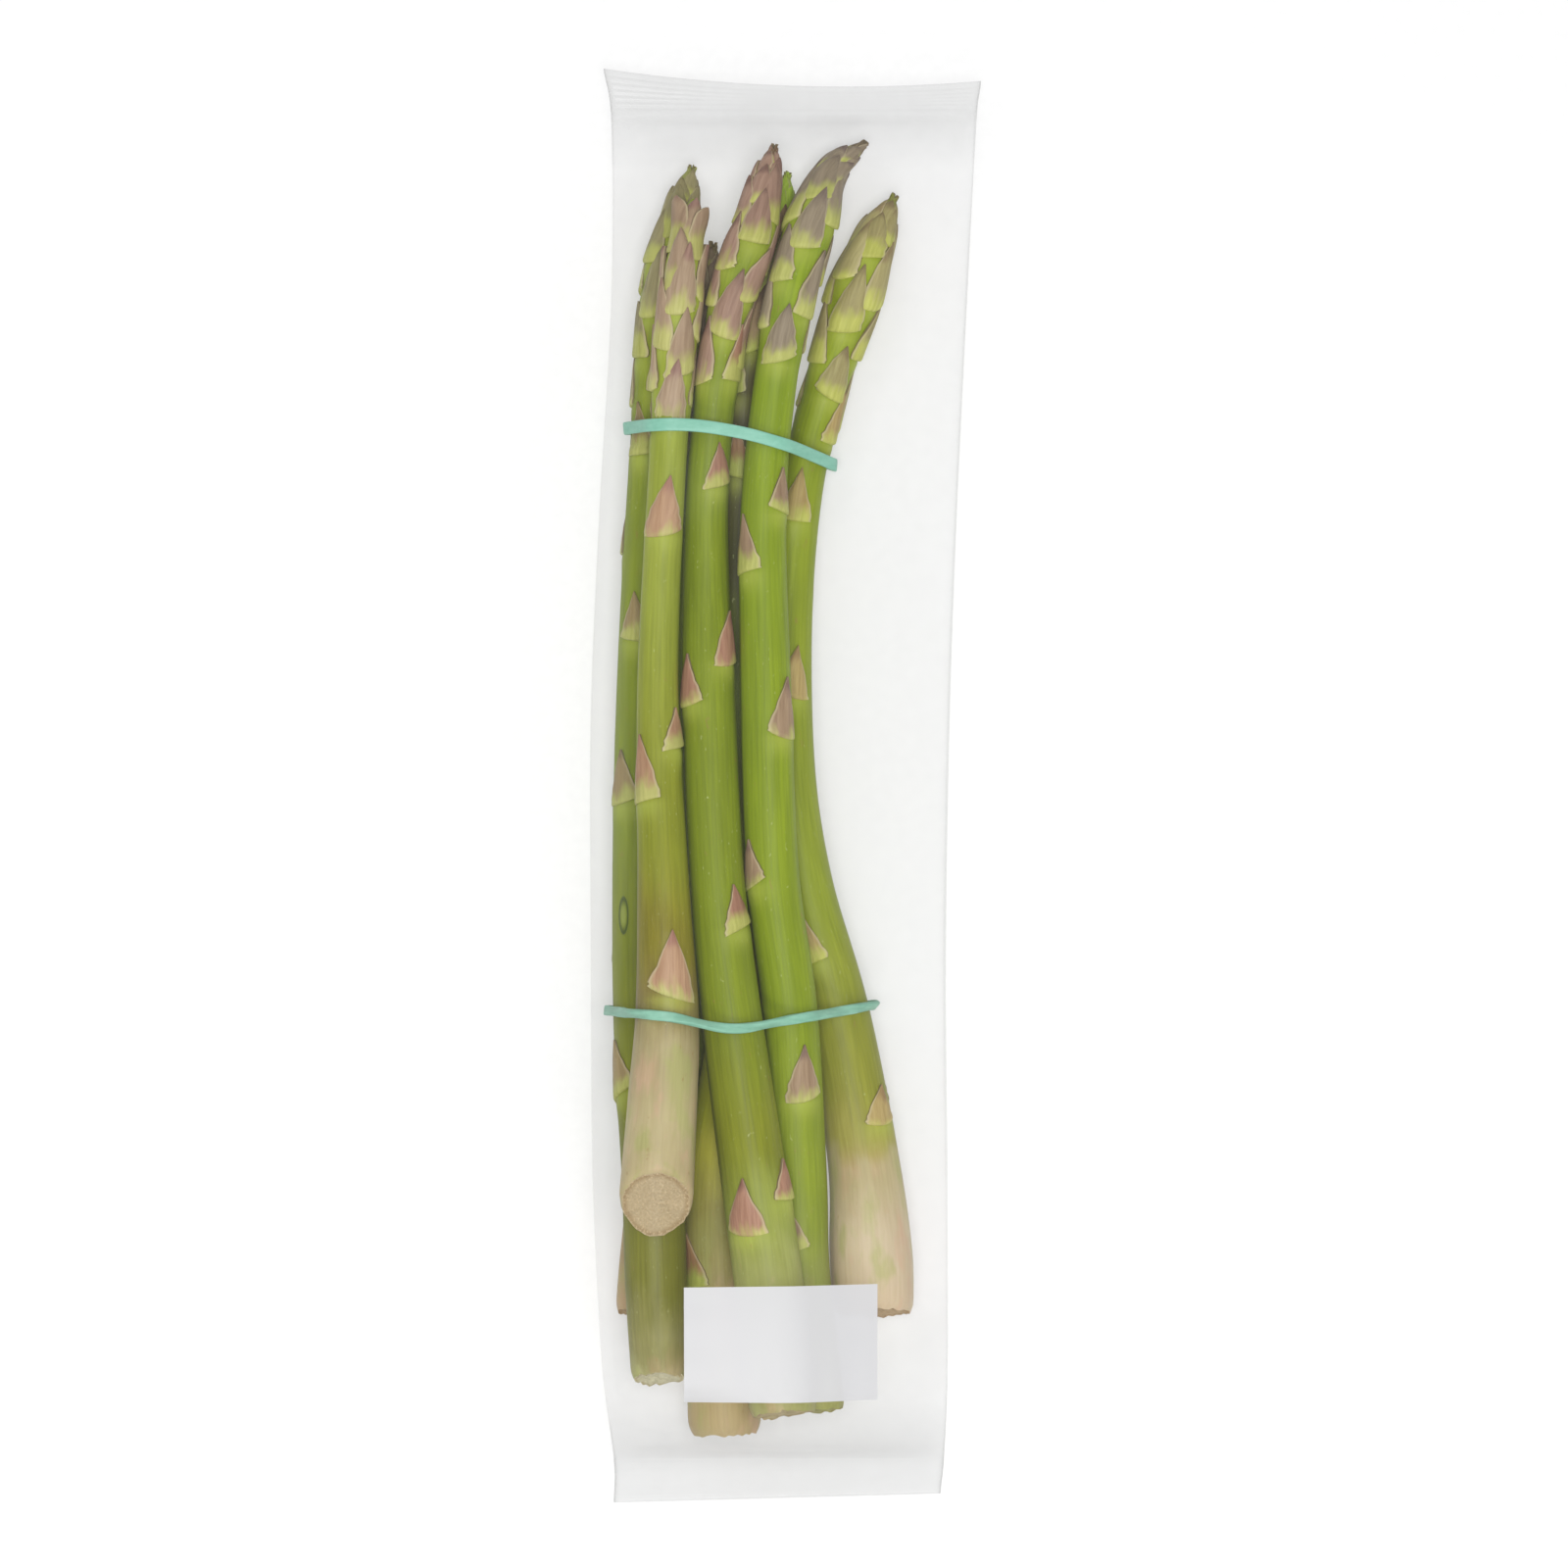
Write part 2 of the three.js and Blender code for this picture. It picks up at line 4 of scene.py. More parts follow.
import bpy
import numpy as np
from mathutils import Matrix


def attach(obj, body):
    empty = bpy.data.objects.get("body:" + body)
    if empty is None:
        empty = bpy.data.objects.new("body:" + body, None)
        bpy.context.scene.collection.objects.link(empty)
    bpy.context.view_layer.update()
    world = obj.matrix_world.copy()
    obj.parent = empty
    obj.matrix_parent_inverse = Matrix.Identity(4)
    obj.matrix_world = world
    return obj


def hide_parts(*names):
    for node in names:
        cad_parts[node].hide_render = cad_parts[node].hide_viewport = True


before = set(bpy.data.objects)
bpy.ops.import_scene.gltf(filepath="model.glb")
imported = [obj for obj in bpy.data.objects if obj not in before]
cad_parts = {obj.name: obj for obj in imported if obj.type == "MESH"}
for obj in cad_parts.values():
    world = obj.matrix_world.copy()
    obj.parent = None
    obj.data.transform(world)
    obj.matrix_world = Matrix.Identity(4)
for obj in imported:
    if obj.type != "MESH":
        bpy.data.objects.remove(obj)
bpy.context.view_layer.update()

# Spears: seven young shoots, each a juicy stem with a bud of close scales at its tip and papery scale
# leaves up its side. Each grew as one piece and was cut off at the butt with a knife. They lie on each
# other in the order of this list, the first ones lowest.
MM = 0.001
FLOOR = 3.1
SPEAR_GAP = 0.6
SCALE_GAP = 0.4
TIP_TAPER = 22
TIP_BLUNT = 0.5
HEAD_LENGTH = 45
HEAD_FADE = 10
HEAD_RISE = 0.7
AXIS_STEPS = 96
FINE_STEPS = 4 * AXIS_STEPS

# What is given for each spear, in millimetres, degrees and screen colours:
# plan: its middle line and radius [x, y, radius] from butt to tip
# slant: slope of the cut
# turn: first angle of the spiral of scales
# open: how far the points of the bud stand off
# points: scales of an open bud [y of the base, angle, length, half width, how far the point stands off]
# leaves: scale leaves of the stem [y of the base, angle, length, and half width of a broad one]
# pale: height y below which the skin is bleached
# skin: its colours at heights y, in some spears with painted light and painted shade
# scales: colours of a scale leaf at its base, middle and point
# tuft: length of the tip whose scales have the colour tip
# cut: colour of the cut
# scar: a healed slit [x, y, half width, half length]
SPEARS = {
    "spear_back_left": {
        "plan": [[-33.2, -121, 5.6], [-31.6, -105, 5.8], [-28.6, -84, 6], [-20.4, -51, 6.1],
                 [-20.6, -15, 5.6], [-21.8, 22, 5.2], [-20.6, 62, 4.9], [-19.2, 96, 4.7],
                 [-17.6, 112, 4.9], [-16.6, 122, 4.5]],
        "slant": 0.15,
        "turn": 205,
        "open": 0.35,
        "leaves": [[-25, 265, 12], [25, 275, 12], [66, 260, 12], [-66, 250, 12]],
        "pale": -98,
        "skin": [(-121, (182, 156, 119)), (-104, (164, 142, 99)), (-88, (127, 123, 53)),
                 (-50, (110, 123, 18)), (120, (114, 132, 18))],
        "scales": [(176, 174, 98), (138, 122, 98), (110, 90, 80)],
        "tuft": 3,
        "tip": (118, 106, 72),
        "cut": (172, 148, 112),
        "slot": "asparagus_deep",
    },
    "spear_back_centre": {
        "plan": [[-13.9, -146, 8.4], [-14.6, -115, 8.3], [-15, -88, 8], [-10, -51, 6.9], [-9.2, -15, 5.7],
                 [-10.9, 22, 5.2], [-10.4, 62, 5], [-9, 92, 4.8], [-4.6, 118, 5.1], [0.3, 138, 4.7]],
        "slant": -0.1,
        "turn": 75,
        "open": 0.3,
        "leaves": [[-114, 140, 13], [-66, 270, 12], [-18, 250, 12], [30, 285, 13], [70, 95, 12]],
        "pale": -104,
        # Painted light and shade in its skin: dark from y 48 to 100, painted shade of the gap it lies in
        # under its neighbours, and light at y -84, painted light where the spears above shade it.
        "skin": [(-146, (176, 155, 108)), (-120, (162, 149, 98)), (-100, (146, 139, 68)),
                 (-84, (176, 172, 58)), (-70, (152, 156, 24)), (20, (110, 126, 18)),
                 (48, (78, 78, 30)), (100, (84, 78, 36)), (130, (110, 134, 18))],
        "scales": [(170, 176, 84), (146, 122, 88), (112, 90, 66)],
        "tuft": 16,
        "tip": (150, 176, 58),
        "cut": (176, 154, 112),
        "slot": "asparagus_green",
    },
    "spear_right": {
        "plan": [[20, -121, 9.2], [19.3, -106, 9.5], [17.6, -85, 8.2], [11.7, -51, 7.3],
                 [4.5, -22, 6.2], [0.8, 4, 5.9], [0.6, 38, 5.5], [3.6, 68, 5.1],
                 [9.6, 92, 4.8], [15.7, 111, 6], [20.4, 124.5, 6.1], [24.4, 133, 5.4]],
        "slant": 0.12,
        "turn": 140,
        "open": 0.25,
        "leaves": [[79, 24, 12], [60, 95, 12], [20, 77, 11], [-39, 119, 15], [-77, 45, 8], [45, 300, 12],
                   [-8, 280, 13], [-72, 315, 13]],
        "pale": -82,
        "skin": [(-121, (201, 180, 149)), (-104, (199, 182, 151)), (-86, (178, 164, 121)),
                 (-80, (157, 151, 72)), (-66, (136, 138, 44)), (-20, (136, 149, 37)),
                 (125, (136, 153, 18))],
        "scales": [(184, 186, 92), (158, 148, 98), (132, 116, 80)],
        "tuft": 4,
        "tip": (122, 124, 56),
        "cut": (186, 160, 124),
        "slot": "asparagus_pale",
    },
    "spear_left": {
        "plan": [[-28.6, -136.5, 6.3], [-29.4, -111, 7.1], [-30.2, -89, 7], [-33, -51, 6.2],
                 [-33.4, 0, 5.7], [-32, 45, 5.4], [-29.6, 88, 4.9], [-26.8, 117, 5.1],
                 [-21.5, 139.5, 4.9]],
        "slant": 0.3,
        "turn": 20,
        "open": 0.35,
        "leaves": [[75, 123, 12], [33, 106, 11], [-4, 131, 12], [-70, 150, 12], [52, 215, 12],
                   [12, 262, 13], [-38, 235, 12]],
        "pale": -128,
        # Its skin from y -60 to 0 is lightened, painted light that offsets the shade of the spears lying over
        # it.
        "skin": [(-135, (164, 159, 108)), (-128, (140, 136, 80)), (-112, (114, 114, 37)),
                 (-60, (124, 131, 27)), (0, (126, 141, 21)), (130, (125, 138, 33))],
        "scales": [(176, 178, 96), (144, 136, 96), (122, 114, 80)],
        "tuft": 5,
        "tip": (140, 142, 78),
        "cut": (200, 194, 160),
        "scar": (-36.7, -29.6, 1.2, 4.6),
        "slot": "asparagus_deep",
    },
    "spear_front_right": {
        "plan": [[7.2, -142.8, 6.6], [3.6, -111, 6.7], [2.8, -89, 6.7], [0.9, -51, 6.4], [-2.9, -20, 6.1],
                 [-4.4, 22, 5.8], [-5, 62, 5.2], [-2.2, 92, 4.9], [1.8, 113, 5.2], [6.4, 129, 5.4],
                 [10.5, 139.5, 4.5], [17.4, 145.5, 3.9]],
        "slant": 0.1,
        "turn": 260,
        "open": 0.35,
        "leaves": [[62, 38, 10], [48, 135, 13], [11, 47, 13], [-22, 146, 10], [-70, 70, 12],
                   [-105, 110, 12]],
        "pale": -112,
        "skin": [(-141, (151, 149, 82)), (-116, (142, 149, 75)), (-88, (130, 145, 33)),
                 (-40, (127, 145, 18)), (130, (127, 149, 18))],
        "scales": [(180, 182, 100), (142, 128, 106), (114, 98, 88)],
        "tuft": 3,
        "tip": (112, 96, 72),
        "cut": (160, 156, 96),
        "slot": "asparagus_green",
    },
    "spear_front_centre": {
        "plan": [[-0.3, -143, 7.7], [-3.9, -111, 7.9], [-7, -89, 7.6], [-12.3, -51, 6.9], [-15.6, -20, 6.3],
                 [-17.4, 22, 6.1], [-17.9, 46, 5.3], [-17.5, 72, 4.9], [-13.5, 104, 4.6], [-7, 126, 5.4],
                 [-2.8, 144, 4.9]],
        "slant": 0.12,
        "turn": 320,
        "open": 0.4,
        "leaves": [[92, 32, 13], [68, 56, 10], [27, 38, 12], [18, 142, 11], [-33, 46, 10], [-94, 26, 9],
                   [-100, 118, 12, 5]],
        "pale": -104,
        "skin": [(-141, (159, 155, 96)), (-116, (153, 155, 89)), (-98, (140, 149, 62)),
                 (-80, (121, 127, 18)), (-40, (121, 136, 18)), (130, (123, 140, 18))],
        "scales": [(180, 180, 98), (150, 120, 102), (116, 88, 76)],
        "tuft": 3,
        "tip": (112, 84, 58),
        "cut": (176, 160, 118),
        "slot": "asparagus_green",
    },
    "spear_front_left": {
        "plan": [[-29.6, -101.5, 8.5], [-27.6, -70, 7.9], [-26.7, -51, 7.2], [-27.6, -22, 5.9],
                 [-28.8, 22, 4.7], [-27, 67, 4.3], [-24.8, 100, 4.4], [-22.6, 122, 4.9],
                 [-20.8, 133, 4.7]],
        "slant": 0.85,
        "turn": 45,
        "open": 1.1,
        "points": [[119.5, 143, 13.5, 3.2, 3.4], [122.4, 88, 11, 3, 0.6], [118.4, 38, 12.5, 2.9, 3.2],
                   [111, 102, 13.5, 3.3, 0.9], [115, 262, 13, 3.2, 0.6], [110, 10, 13, 3, 0.8],
                   [109, 190, 13, 3, 0.8]],
        "leaves": [[57, 95, 13, 5], [8, 31, 9], [-4, 133, 15], [-47, 78, 14, 5.6]],
        "pale": -56,
        "skin": [(-101, (182, 164, 123)), (-78, (182, 168, 125)), (-60, (168, 155, 112)),
                 (-48, (127, 112, 56)), (-36, (127, 119, 28)), (-10, (132, 138, 28)),
                 (50, (147, 157, 53)), (120, (140, 155, 37))],
        "scales": [(182, 180, 106), (162, 138, 112), (142, 110, 96)],
        "tuft": 0,
        "tip": (146, 116, 96),
        "cut": (188, 168, 132),
        "slot": "asparagus_pale",
    },
}

# The two bands press on the leaves under them, so their routes are needed here: height y of the middle,
# width, thickness, and the route across the spears [x, y].
BANDS = {
    "band_upper": {"y": 78, "width": 2.9, "thick": 1.0,
                   "route": [[-40, 80.7], [-24, 81.4], [-11, 79.8], [0, 76.8], [14, 71.4]]},
    "band_lower": {"y": -52, "width": 2.3, "thick": 1.2,
                   "route": [[-42, -51], [-27, -52], [-12.5, -54.8], [1, -52.9], [22, -49.6]]},
}


def scatter(a, b):
    """Even scatter between -1 and 1, the same each time for the same two numbers."""
    wave = math.sin(a * 12.9898 + b * 78.233) * 43758.5453
    return 2 * (wave - math.floor(wave)) - 1


def smooth_line(points, steps):
    """Smooth curve through rows of points."""
    p = np.array(points, float)
    p = np.vstack([2 * p[0] - p[1], p, 2 * p[-1] - p[-2]])
    spans = len(points) - 1
    at = np.linspace(0, spans, steps + 1)
    i = np.minimum(at.astype(int), spans - 1)
    t = (at - i)[:, None]
    start = (p[i + 2] - p[i]) / 2
    end = (p[i + 3] - p[i + 1]) / 2
    span = p[i + 2] - p[i + 1]
    return p[i + 1] + start * t + (3 * span - 2 * start - end) * t**2 + (start + end - 2 * span) * t**3


def core_radius(radius, to_tip):
    """Radius of the stem under its scales, drawn in to the tip."""
    return radius * (np.clip(to_tip, 0.02, TIP_TAPER) / TIP_TAPER) ** TIP_BLUNT


def head_rise(to_tip):
    """Room that the scales of the bud take up outside the stem."""
    return HEAD_RISE * np.clip(1 - (to_tip - HEAD_LENGTH) / HEAD_FADE, 0, 1)


def section_at(spear, y):
    """Middle [x, z] and reach of a spear at height y, or nothing past its ends."""
    line = spear["axis"]
    if y < line[0, 1] or y > line[-1, 1]:
        return None
    x, z, r = [np.interp(y, line[:, 1], values) for values in (line[:, 0], line[:, 2], spear["reach"])]
    return x, z, r


# Middle lines: a spear lies on the ones placed before it, and sags between its supports.
SAG_ROUNDS = 100
EASE_ROUNDS = 10
LINE_LIFT = 0.15
AIM_STEPS = 9
placed = []
for spear in SPEARS.values():
    plan = smooth_line(spear["plan"], AXIS_STEPS)
    steps = np.hypot(np.diff(plan[:, 0]), np.diff(plan[:, 1]))
    to_tip = np.append(np.cumsum(steps[::-1])[::-1], 0)
    spear["core"] = core_radius(plan[:, 2], to_tip)
    spear["reach"] = spear["core"] + head_rise(to_tip)
    need = FLOOR + spear["reach"]
    for i, (x, y, _) in enumerate(plan):
        for under in placed:
            at = section_at(under, y)
            if at is None:
                continue
            reach = spear["reach"][i] + at[2] + SPEAR_GAP
            if abs(x - at[0]) < reach:
                need[i] = max(need[i], at[1] + math.sqrt(reach**2 - (x - at[0]) ** 2))
    height = need.copy()
    for turn in range(SAG_ROUNDS + EASE_ROUNDS):
        padded = np.concatenate([height[:1], height, height[-1:]])
        level = (padded[:-2] + padded[1:-1] + padded[2:]) / 3
        height = np.maximum(need, level) if turn < SAG_ROUNDS else level
    spear["axis"] = np.column_stack([plan[:, 0], plan[:, 1], height + LINE_LIFT])
    fine = smooth_line(np.column_stack([spear["axis"], plan[:, 2], to_tip]), FINE_STEPS)[::-1]
    spear["line"] = fine[:, :3]
    spear["radius"] = fine[:, 3]
    spear["run"] = np.maximum.accumulate(fine[:, 4])
    ahead = np.vstack([fine[:1, :3].repeat(AIM_STEPS, 0), fine[:-AIM_STEPS, :3]])
    behind = np.vstack([fine[AIM_STEPS:, :3], fine[-1:, :3].repeat(AIM_STEPS, 0)])
    spear["along"] = ahead - behind
    spear["length"] = to_tip[0]
    placed.append(spear)


def stations(spear, to_tip):
    """Place, side, up and along directions and core radius at distances from the tip."""
    s = np.atleast_1d(np.asarray(to_tip, float))

    def pick(values):
        return np.column_stack([np.interp(s, spear["run"], column) for column in values.T])

    along = pick(spear["along"])
    along /= np.linalg.norm(along, axis=1)[:, None]
    up = np.array([0, 0, 1]) - along * along[:, 2:]
    up /= np.linalg.norm(up, axis=1)[:, None]
    side = np.cross(along, up)
    place = pick(spear["line"]) - along * np.minimum(s, 0)[:, None]
    core = core_radius(np.interp(s, spear["run"], spear["radius"]), s)
    return place, side, up, along, core


for band in BANDS.values():
    band["line"] = smooth_line(band["route"], 180)


def band_height(band, x):
    """Height y of a band's middle where it crosses x."""
    return np.interp(x, band["line"][:, 0], band["line"][:, 1])


PRESS_ROUNDS = 12
PRESS_BAND = 2.5
PRESS_LEFT = 0.1
PRESS_LOWEST = -0.3
PRESS_NEAR = 14


def pressed(owner, place, out, core, rise):
    """A scale leaf that would reach a neighbour or lie under a band is pressed back against its stem."""
    kept = rise
    for turn in range(PRESS_ROUNDS):
        point = place + out * (core + kept)
        excess = 0
        for band in BANDS.values():
            if abs(point[1] - band_height(band, point[0])) < band["width"] / 2 + PRESS_BAND:
                excess = max(excess, kept - PRESS_LEFT)
        for name, other in SPEARS.items():
            if name == owner:
                continue
            near = np.abs(other["axis"][:, 1] - point[1]) < PRESS_NEAR
            if near.any():
                gaps = np.linalg.norm(other["axis"][near] - point, axis=1) - other["core"][near]
                excess = max(excess, (kept - gaps.min() + SCALE_GAP) / 2)
        if excess < 0.01:
            break
        kept -= excess
    return max(kept, PRESS_LOWEST)


# Finishes of a spear, in the order of its materials.
SKIN, SCALES, CUT, LEAVES = range(4)


class Skin:
    """Vertices, faces and surface values of one spear as it is built up."""

    def __init__(self):
        self.corners, self.faces, self.kinds = [], [], []
        self.part, self.grain, self.rim = [], [], []

    def tube(self, points, kind, part, grain, rim):
        """Rings of points joined into faces of one kind."""
        rows, columns = points.shape[:2]
        first = len(self.corners)
        self.corners.extend(points.reshape(-1, 3).tolist())
        for kept, values in ((self.part, part), (self.rim, rim)):
            kept.extend(np.broadcast_to(values, (rows, columns)).ravel().tolist())
        self.grain.extend(grain.reshape(-1, 3).tolist())
        for row in range(rows - 1):
            for column in range(columns):
                a = first + row * columns + column
                b = first + row * columns + (column + 1) % columns
                self.faces.append((a, a + columns, b + columns, b))
                self.kinds.append(kind)
        return first


STEM_SIDES = 44
RING_STEP = 1.5
STEM_SHARE = 0.99
FLUTES = 17
FLUTE_DEPTH = 0.05
SWELL = 0.42
SWELL_BELOW = 0.9
WEAR = 0.09
WEAR_LENGTH = 3
CUT_FADE = 14
CUT_FADE_SLANT = 3.6
GRAIN_APART = 40


def stem(skin, spear, leaves, order):
    """Round stem with faint flutes, swollen below each scale leaf, from the tip down to the cut."""
    length = spear["length"]
    rings = np.concatenate([[0.05, 0.3, 0.8, 1.5], np.linspace(2.4, length - 2, round(length / RING_STEP)),
                            length - np.array([1.2, 0.6, 0.25, 0])])
    place, side, up, along, core = stations(spear, rings)
    angle = np.linspace(0, 2 * np.pi, STEM_SIDES, endpoint=False)
    swell = np.zeros((len(rings), STEM_SIDES))
    for base, turn, half_width in leaves:
        below = rings[:, None] - base - SWELL_BELOW
        across = ((angle[None, :] - turn + np.pi) % (2 * np.pi) - np.pi) * core[:, None]
        spot = np.exp(-((below / np.where(below > 0, 3.2, 1.2)) ** 2) - (across / half_width) ** 2)
        swell = np.maximum(swell, spot)
    twist = 3 * angle + 0.05 * rings[:, None] + order
    flute = FLUTE_DEPTH * (np.sin(FLUTES * angle + order)[None, :] + np.sin(twist))
    body = np.clip((rings - 8) / 20, 0, 1)[:, None]
    worn = 1 - WEAR * np.clip(1 - (length - rings) / WEAR_LENGTH, 0, 1)[:, None] ** 2
    out = core[:, None] * STEM_SHARE * worn + body * flute + SWELL * swell * body
    radial = side[:, None, :] * np.cos(angle)[None, :, None] + up[:, None, :] * np.sin(angle)[None, :, None]
    points = place[:, None, :] + radial * out[:, :, None]
    ragged = [0.3 * scatter(order, k) + 0.35 * scatter(order + 7, k // 4) for k in range(STEM_SIDES)]
    cut = spear["slant"] * core[-1] * (np.sin(angle) + 1) + np.array(ragged)
    fade_length = max(CUT_FADE, CUT_FADE_SLANT * abs(spear["slant"]) * core[-1])
    fade = np.clip(1 - (length - rings) / fade_length, 0, 1)
    points += along[:, None, :] * (fade[:, None] * cut[None, :])[:, :, None]
    low, high = spear["plan"][0][1], spear["plan"][-1][1]
    lengthwise = rings[:, None] + 0 * angle + GRAIN_APART * order
    grain = np.stack([out * np.cos(angle), out * np.sin(angle), lengthwise], 2)
    skin.tube(points, SKIN, (points[:, :, 1] - low) / (high - low), grain, swell)
    return points[-1], along[-1]


CUT_RINGS = np.array([1, 0.96, 0.88, 0.76, 0.62, 0.47, 0.31, 0.15, 0.001])
CUT_ROUGH = 0.16
CUT_HOLLOW = 0.25


def cut_face(skin, rim, along, order):
    """Knife cut across the butt: a fibrous disc, a little hollow, with a ragged edge."""
    middle = rim.mean(0)
    shares = CUT_RINGS
    points = middle + (rim - middle)[None, :, :] * shares[:, None, None]
    angle = np.linspace(0, 2 * np.pi, len(rim), endpoint=False)
    rough = [[scatter(9 * order + row, column) for column in range(len(rim))] for row in range(len(shares))]
    fibrous = ((shares < 0.95) & (shares > 0.1))[:, None]
    dip = CUT_ROUGH * np.array(rough) * fibrous + CUT_HOLLOW * (1 - shares[:, None] ** 4)
    points = points + along * dip[:, :, None]
    reach = np.linalg.norm(rim - middle, axis=1).mean()
    grain = np.stack([reach * shares[:, None] * np.cos(angle), reach * shares[:, None] * np.sin(angle),
                      np.full((len(shares), len(rim)), 50.0 * order)], 2)
    skin.tube(points, CUT, shares[:, None], grain, 0 * dip)


# Outline and bulge of a scale leaf from base to point: long triangles on the stem, ovals in the bud.
LEAF_PART = np.array([0, 0.02, 0.06, 0.12, 0.2, 0.3, 0.42, 0.55, 0.68, 0.8, 0.9, 0.96, 1])
STEM_FORM = {
    "kind": LEAVES,
    "width": np.interp(LEAF_PART, [0, 0.05, 0.12, 0.3, 0.5, 0.7, 0.85, 0.95, 1],
                       [1, 1, 0.96, 0.8, 0.57, 0.34, 0.17, 0.07, 0.02]),
    "lift": np.interp(LEAF_PART, [0, 0.02, 0.06, 0.15, 0.45, 0.7, 0.9, 1],
                      [0.55, 0.9, 1, 0.95, 0.85, 0.75, 0.6, 0.5]),
}
BUD_FORM = {
    "kind": SCALES,
    "width": np.interp(LEAF_PART, [0, 0.06, 0.3, 0.5, 0.7, 0.85, 0.95, 1],
                       [0.9, 1, 0.97, 0.84, 0.56, 0.32, 0.13, 0.02]),
    "lift": np.interp(LEAF_PART, [0, 0.02, 0.06, 0.2, 0.45, 0.7, 0.9, 1],
                      [0.3, 0.55, 0.62, 0.62, 0.85, 1.05, 1.15, 1.1]),
}
HEAD_FORM = {
    "kind": SCALES,
    "width": (STEM_FORM["width"] + BUD_FORM["width"]) / 2,
    "lift": STEM_FORM["lift"],
}
LEAF_OPEN = np.clip((LEAF_PART - 0.35) / 0.65, 0, 1) ** 1.5
LEAF_ACROSS = np.linspace(-1, 1, 11)
LEAF_EDGE = 0.32
LEAF_SPREAD = 1.25
LEAF_VEIN = 0.05
LEAF_TORN = 0.07
LEAF_TILT = 0.4
LEAF_BOW = 0.6
LEAF_LEAN = 0.35
LEAF_THICK = 0.3
LEAF_ROOT = 0.15
CHANCE_APART = 30


def scale_leaf(skin, owner, leaf, chance):
    """Thin pointed leaf that hugs the stem, its root sunk in, its base a raised ledge, its point lifted."""
    to_tip, angle, length, half_width, rise, lifted, form, tones = leaf
    spear = SPEARS[owner]
    run = to_tip - LEAF_PART * length
    place, side, up, along, core = stations(spear, run)
    spread = np.minimum(form["width"] * half_width / np.maximum(core, 1.2), LEAF_SPREAD)
    middle = side * math.cos(angle) + up * math.sin(angle)
    kept = np.maximum(core, 0.4)
    stand = rise * form["lift"] * np.clip(0.4 + run / 11, 0.4, 1) + lifted * LEAF_OPEN
    top = [pressed(owner, place[i], middle[i], kept[i], stand[i]) for i in range(len(core))]
    top = np.array(top)[:, None]
    free = np.minimum(lifted * LEAF_OPEN[:, None], np.maximum(top - LEAF_EDGE, 0))
    edge = np.minimum(LEAF_EDGE + free, top)
    across = LEAF_ACROSS[None, :]
    vein = LEAF_VEIN * np.cos(across * 4.5 * np.pi) * np.sin(np.pi * LEAF_PART[:, None])
    lift = edge + (top - edge) * (1 - np.abs(across) ** 2.4) + np.minimum(vein, top)
    torn = [[1 + LEAF_TORN * scatter(row + 5 * chance, edge) for edge in (1, 2)] for row in range(len(core))]
    torn = np.array(torn)[:, (np.sign(LEAF_ACROSS) > 0).astype(int)]
    turn = angle + spread[:, None] * across * torn
    radial = side[:, None, :] * np.cos(turn)[:, :, None] + up[:, None, :] * np.sin(turn)[:, :, None]
    tilt = LEAF_TILT * half_width * scatter(11 * chance, 5)
    bow = (LEAF_BOW * (1 + chance) * (1 - across**2) + tilt * across) * (1 - LEAF_PART[:, None]) ** 3
    lean = LEAF_LEAN * chance * half_width * LEAF_PART[:, None] ** 2
    origin = place[:, None, :] - along[:, None, :] * bow[:, :, None]
    outer = kept[:, None] + lift
    sunk = core[:, None] - LEAF_ROOT + free
    inner = np.maximum(np.minimum(outer - LEAF_THICK, sunk), 0.08)
    shift = np.cross(along, middle)[:, None, :] * lean[:, :, None]
    part = tones[0] + (tones[1] - tones[0]) * LEAF_PART[:, None] + 0 * across
    crosswise = spread[:, None] * core[:, None] * across
    grain = np.stack([crosswise, 0 * part + CHANCE_APART * chance, LEAF_PART[:, None] * length + 0 * part], 2)
    top_points = origin + shift + radial * outer[:, :, None]
    back_points = origin + shift + radial * inner[:, :, None]
    closed = np.concatenate([top_points, back_points[:, ::-1]], 1)
    rim = np.abs(across) + 0 * part
    both_sides = [np.concatenate([values, values[:, ::-1]], 1) for values in (part, grain, rim)]
    first = skin.tube(closed, form["kind"], *both_sides)
    columns = len(LEAF_ACROSS)
    for row, turned in ((0, 1), (len(LEAF_PART) - 1, -1)):
        start = first + row * 2 * columns
        for k in range(columns - 1):
            face = (start + k, start + k + 1, start + 2 * columns - 2 - k, start + 2 * columns - 1 - k)
            skin.faces.append(face[::turned])
            skin.kinds.append(form["kind"])


def linear(colour):
    """Linear light from a colour written in 0 to 255 screen values."""
    parts = [c / 255 for c in colour]
    return [c / 12.92 if c <= 0.04045 else ((c + 0.055) / 1.055) ** 2.4 for c in parts] + [1.0]


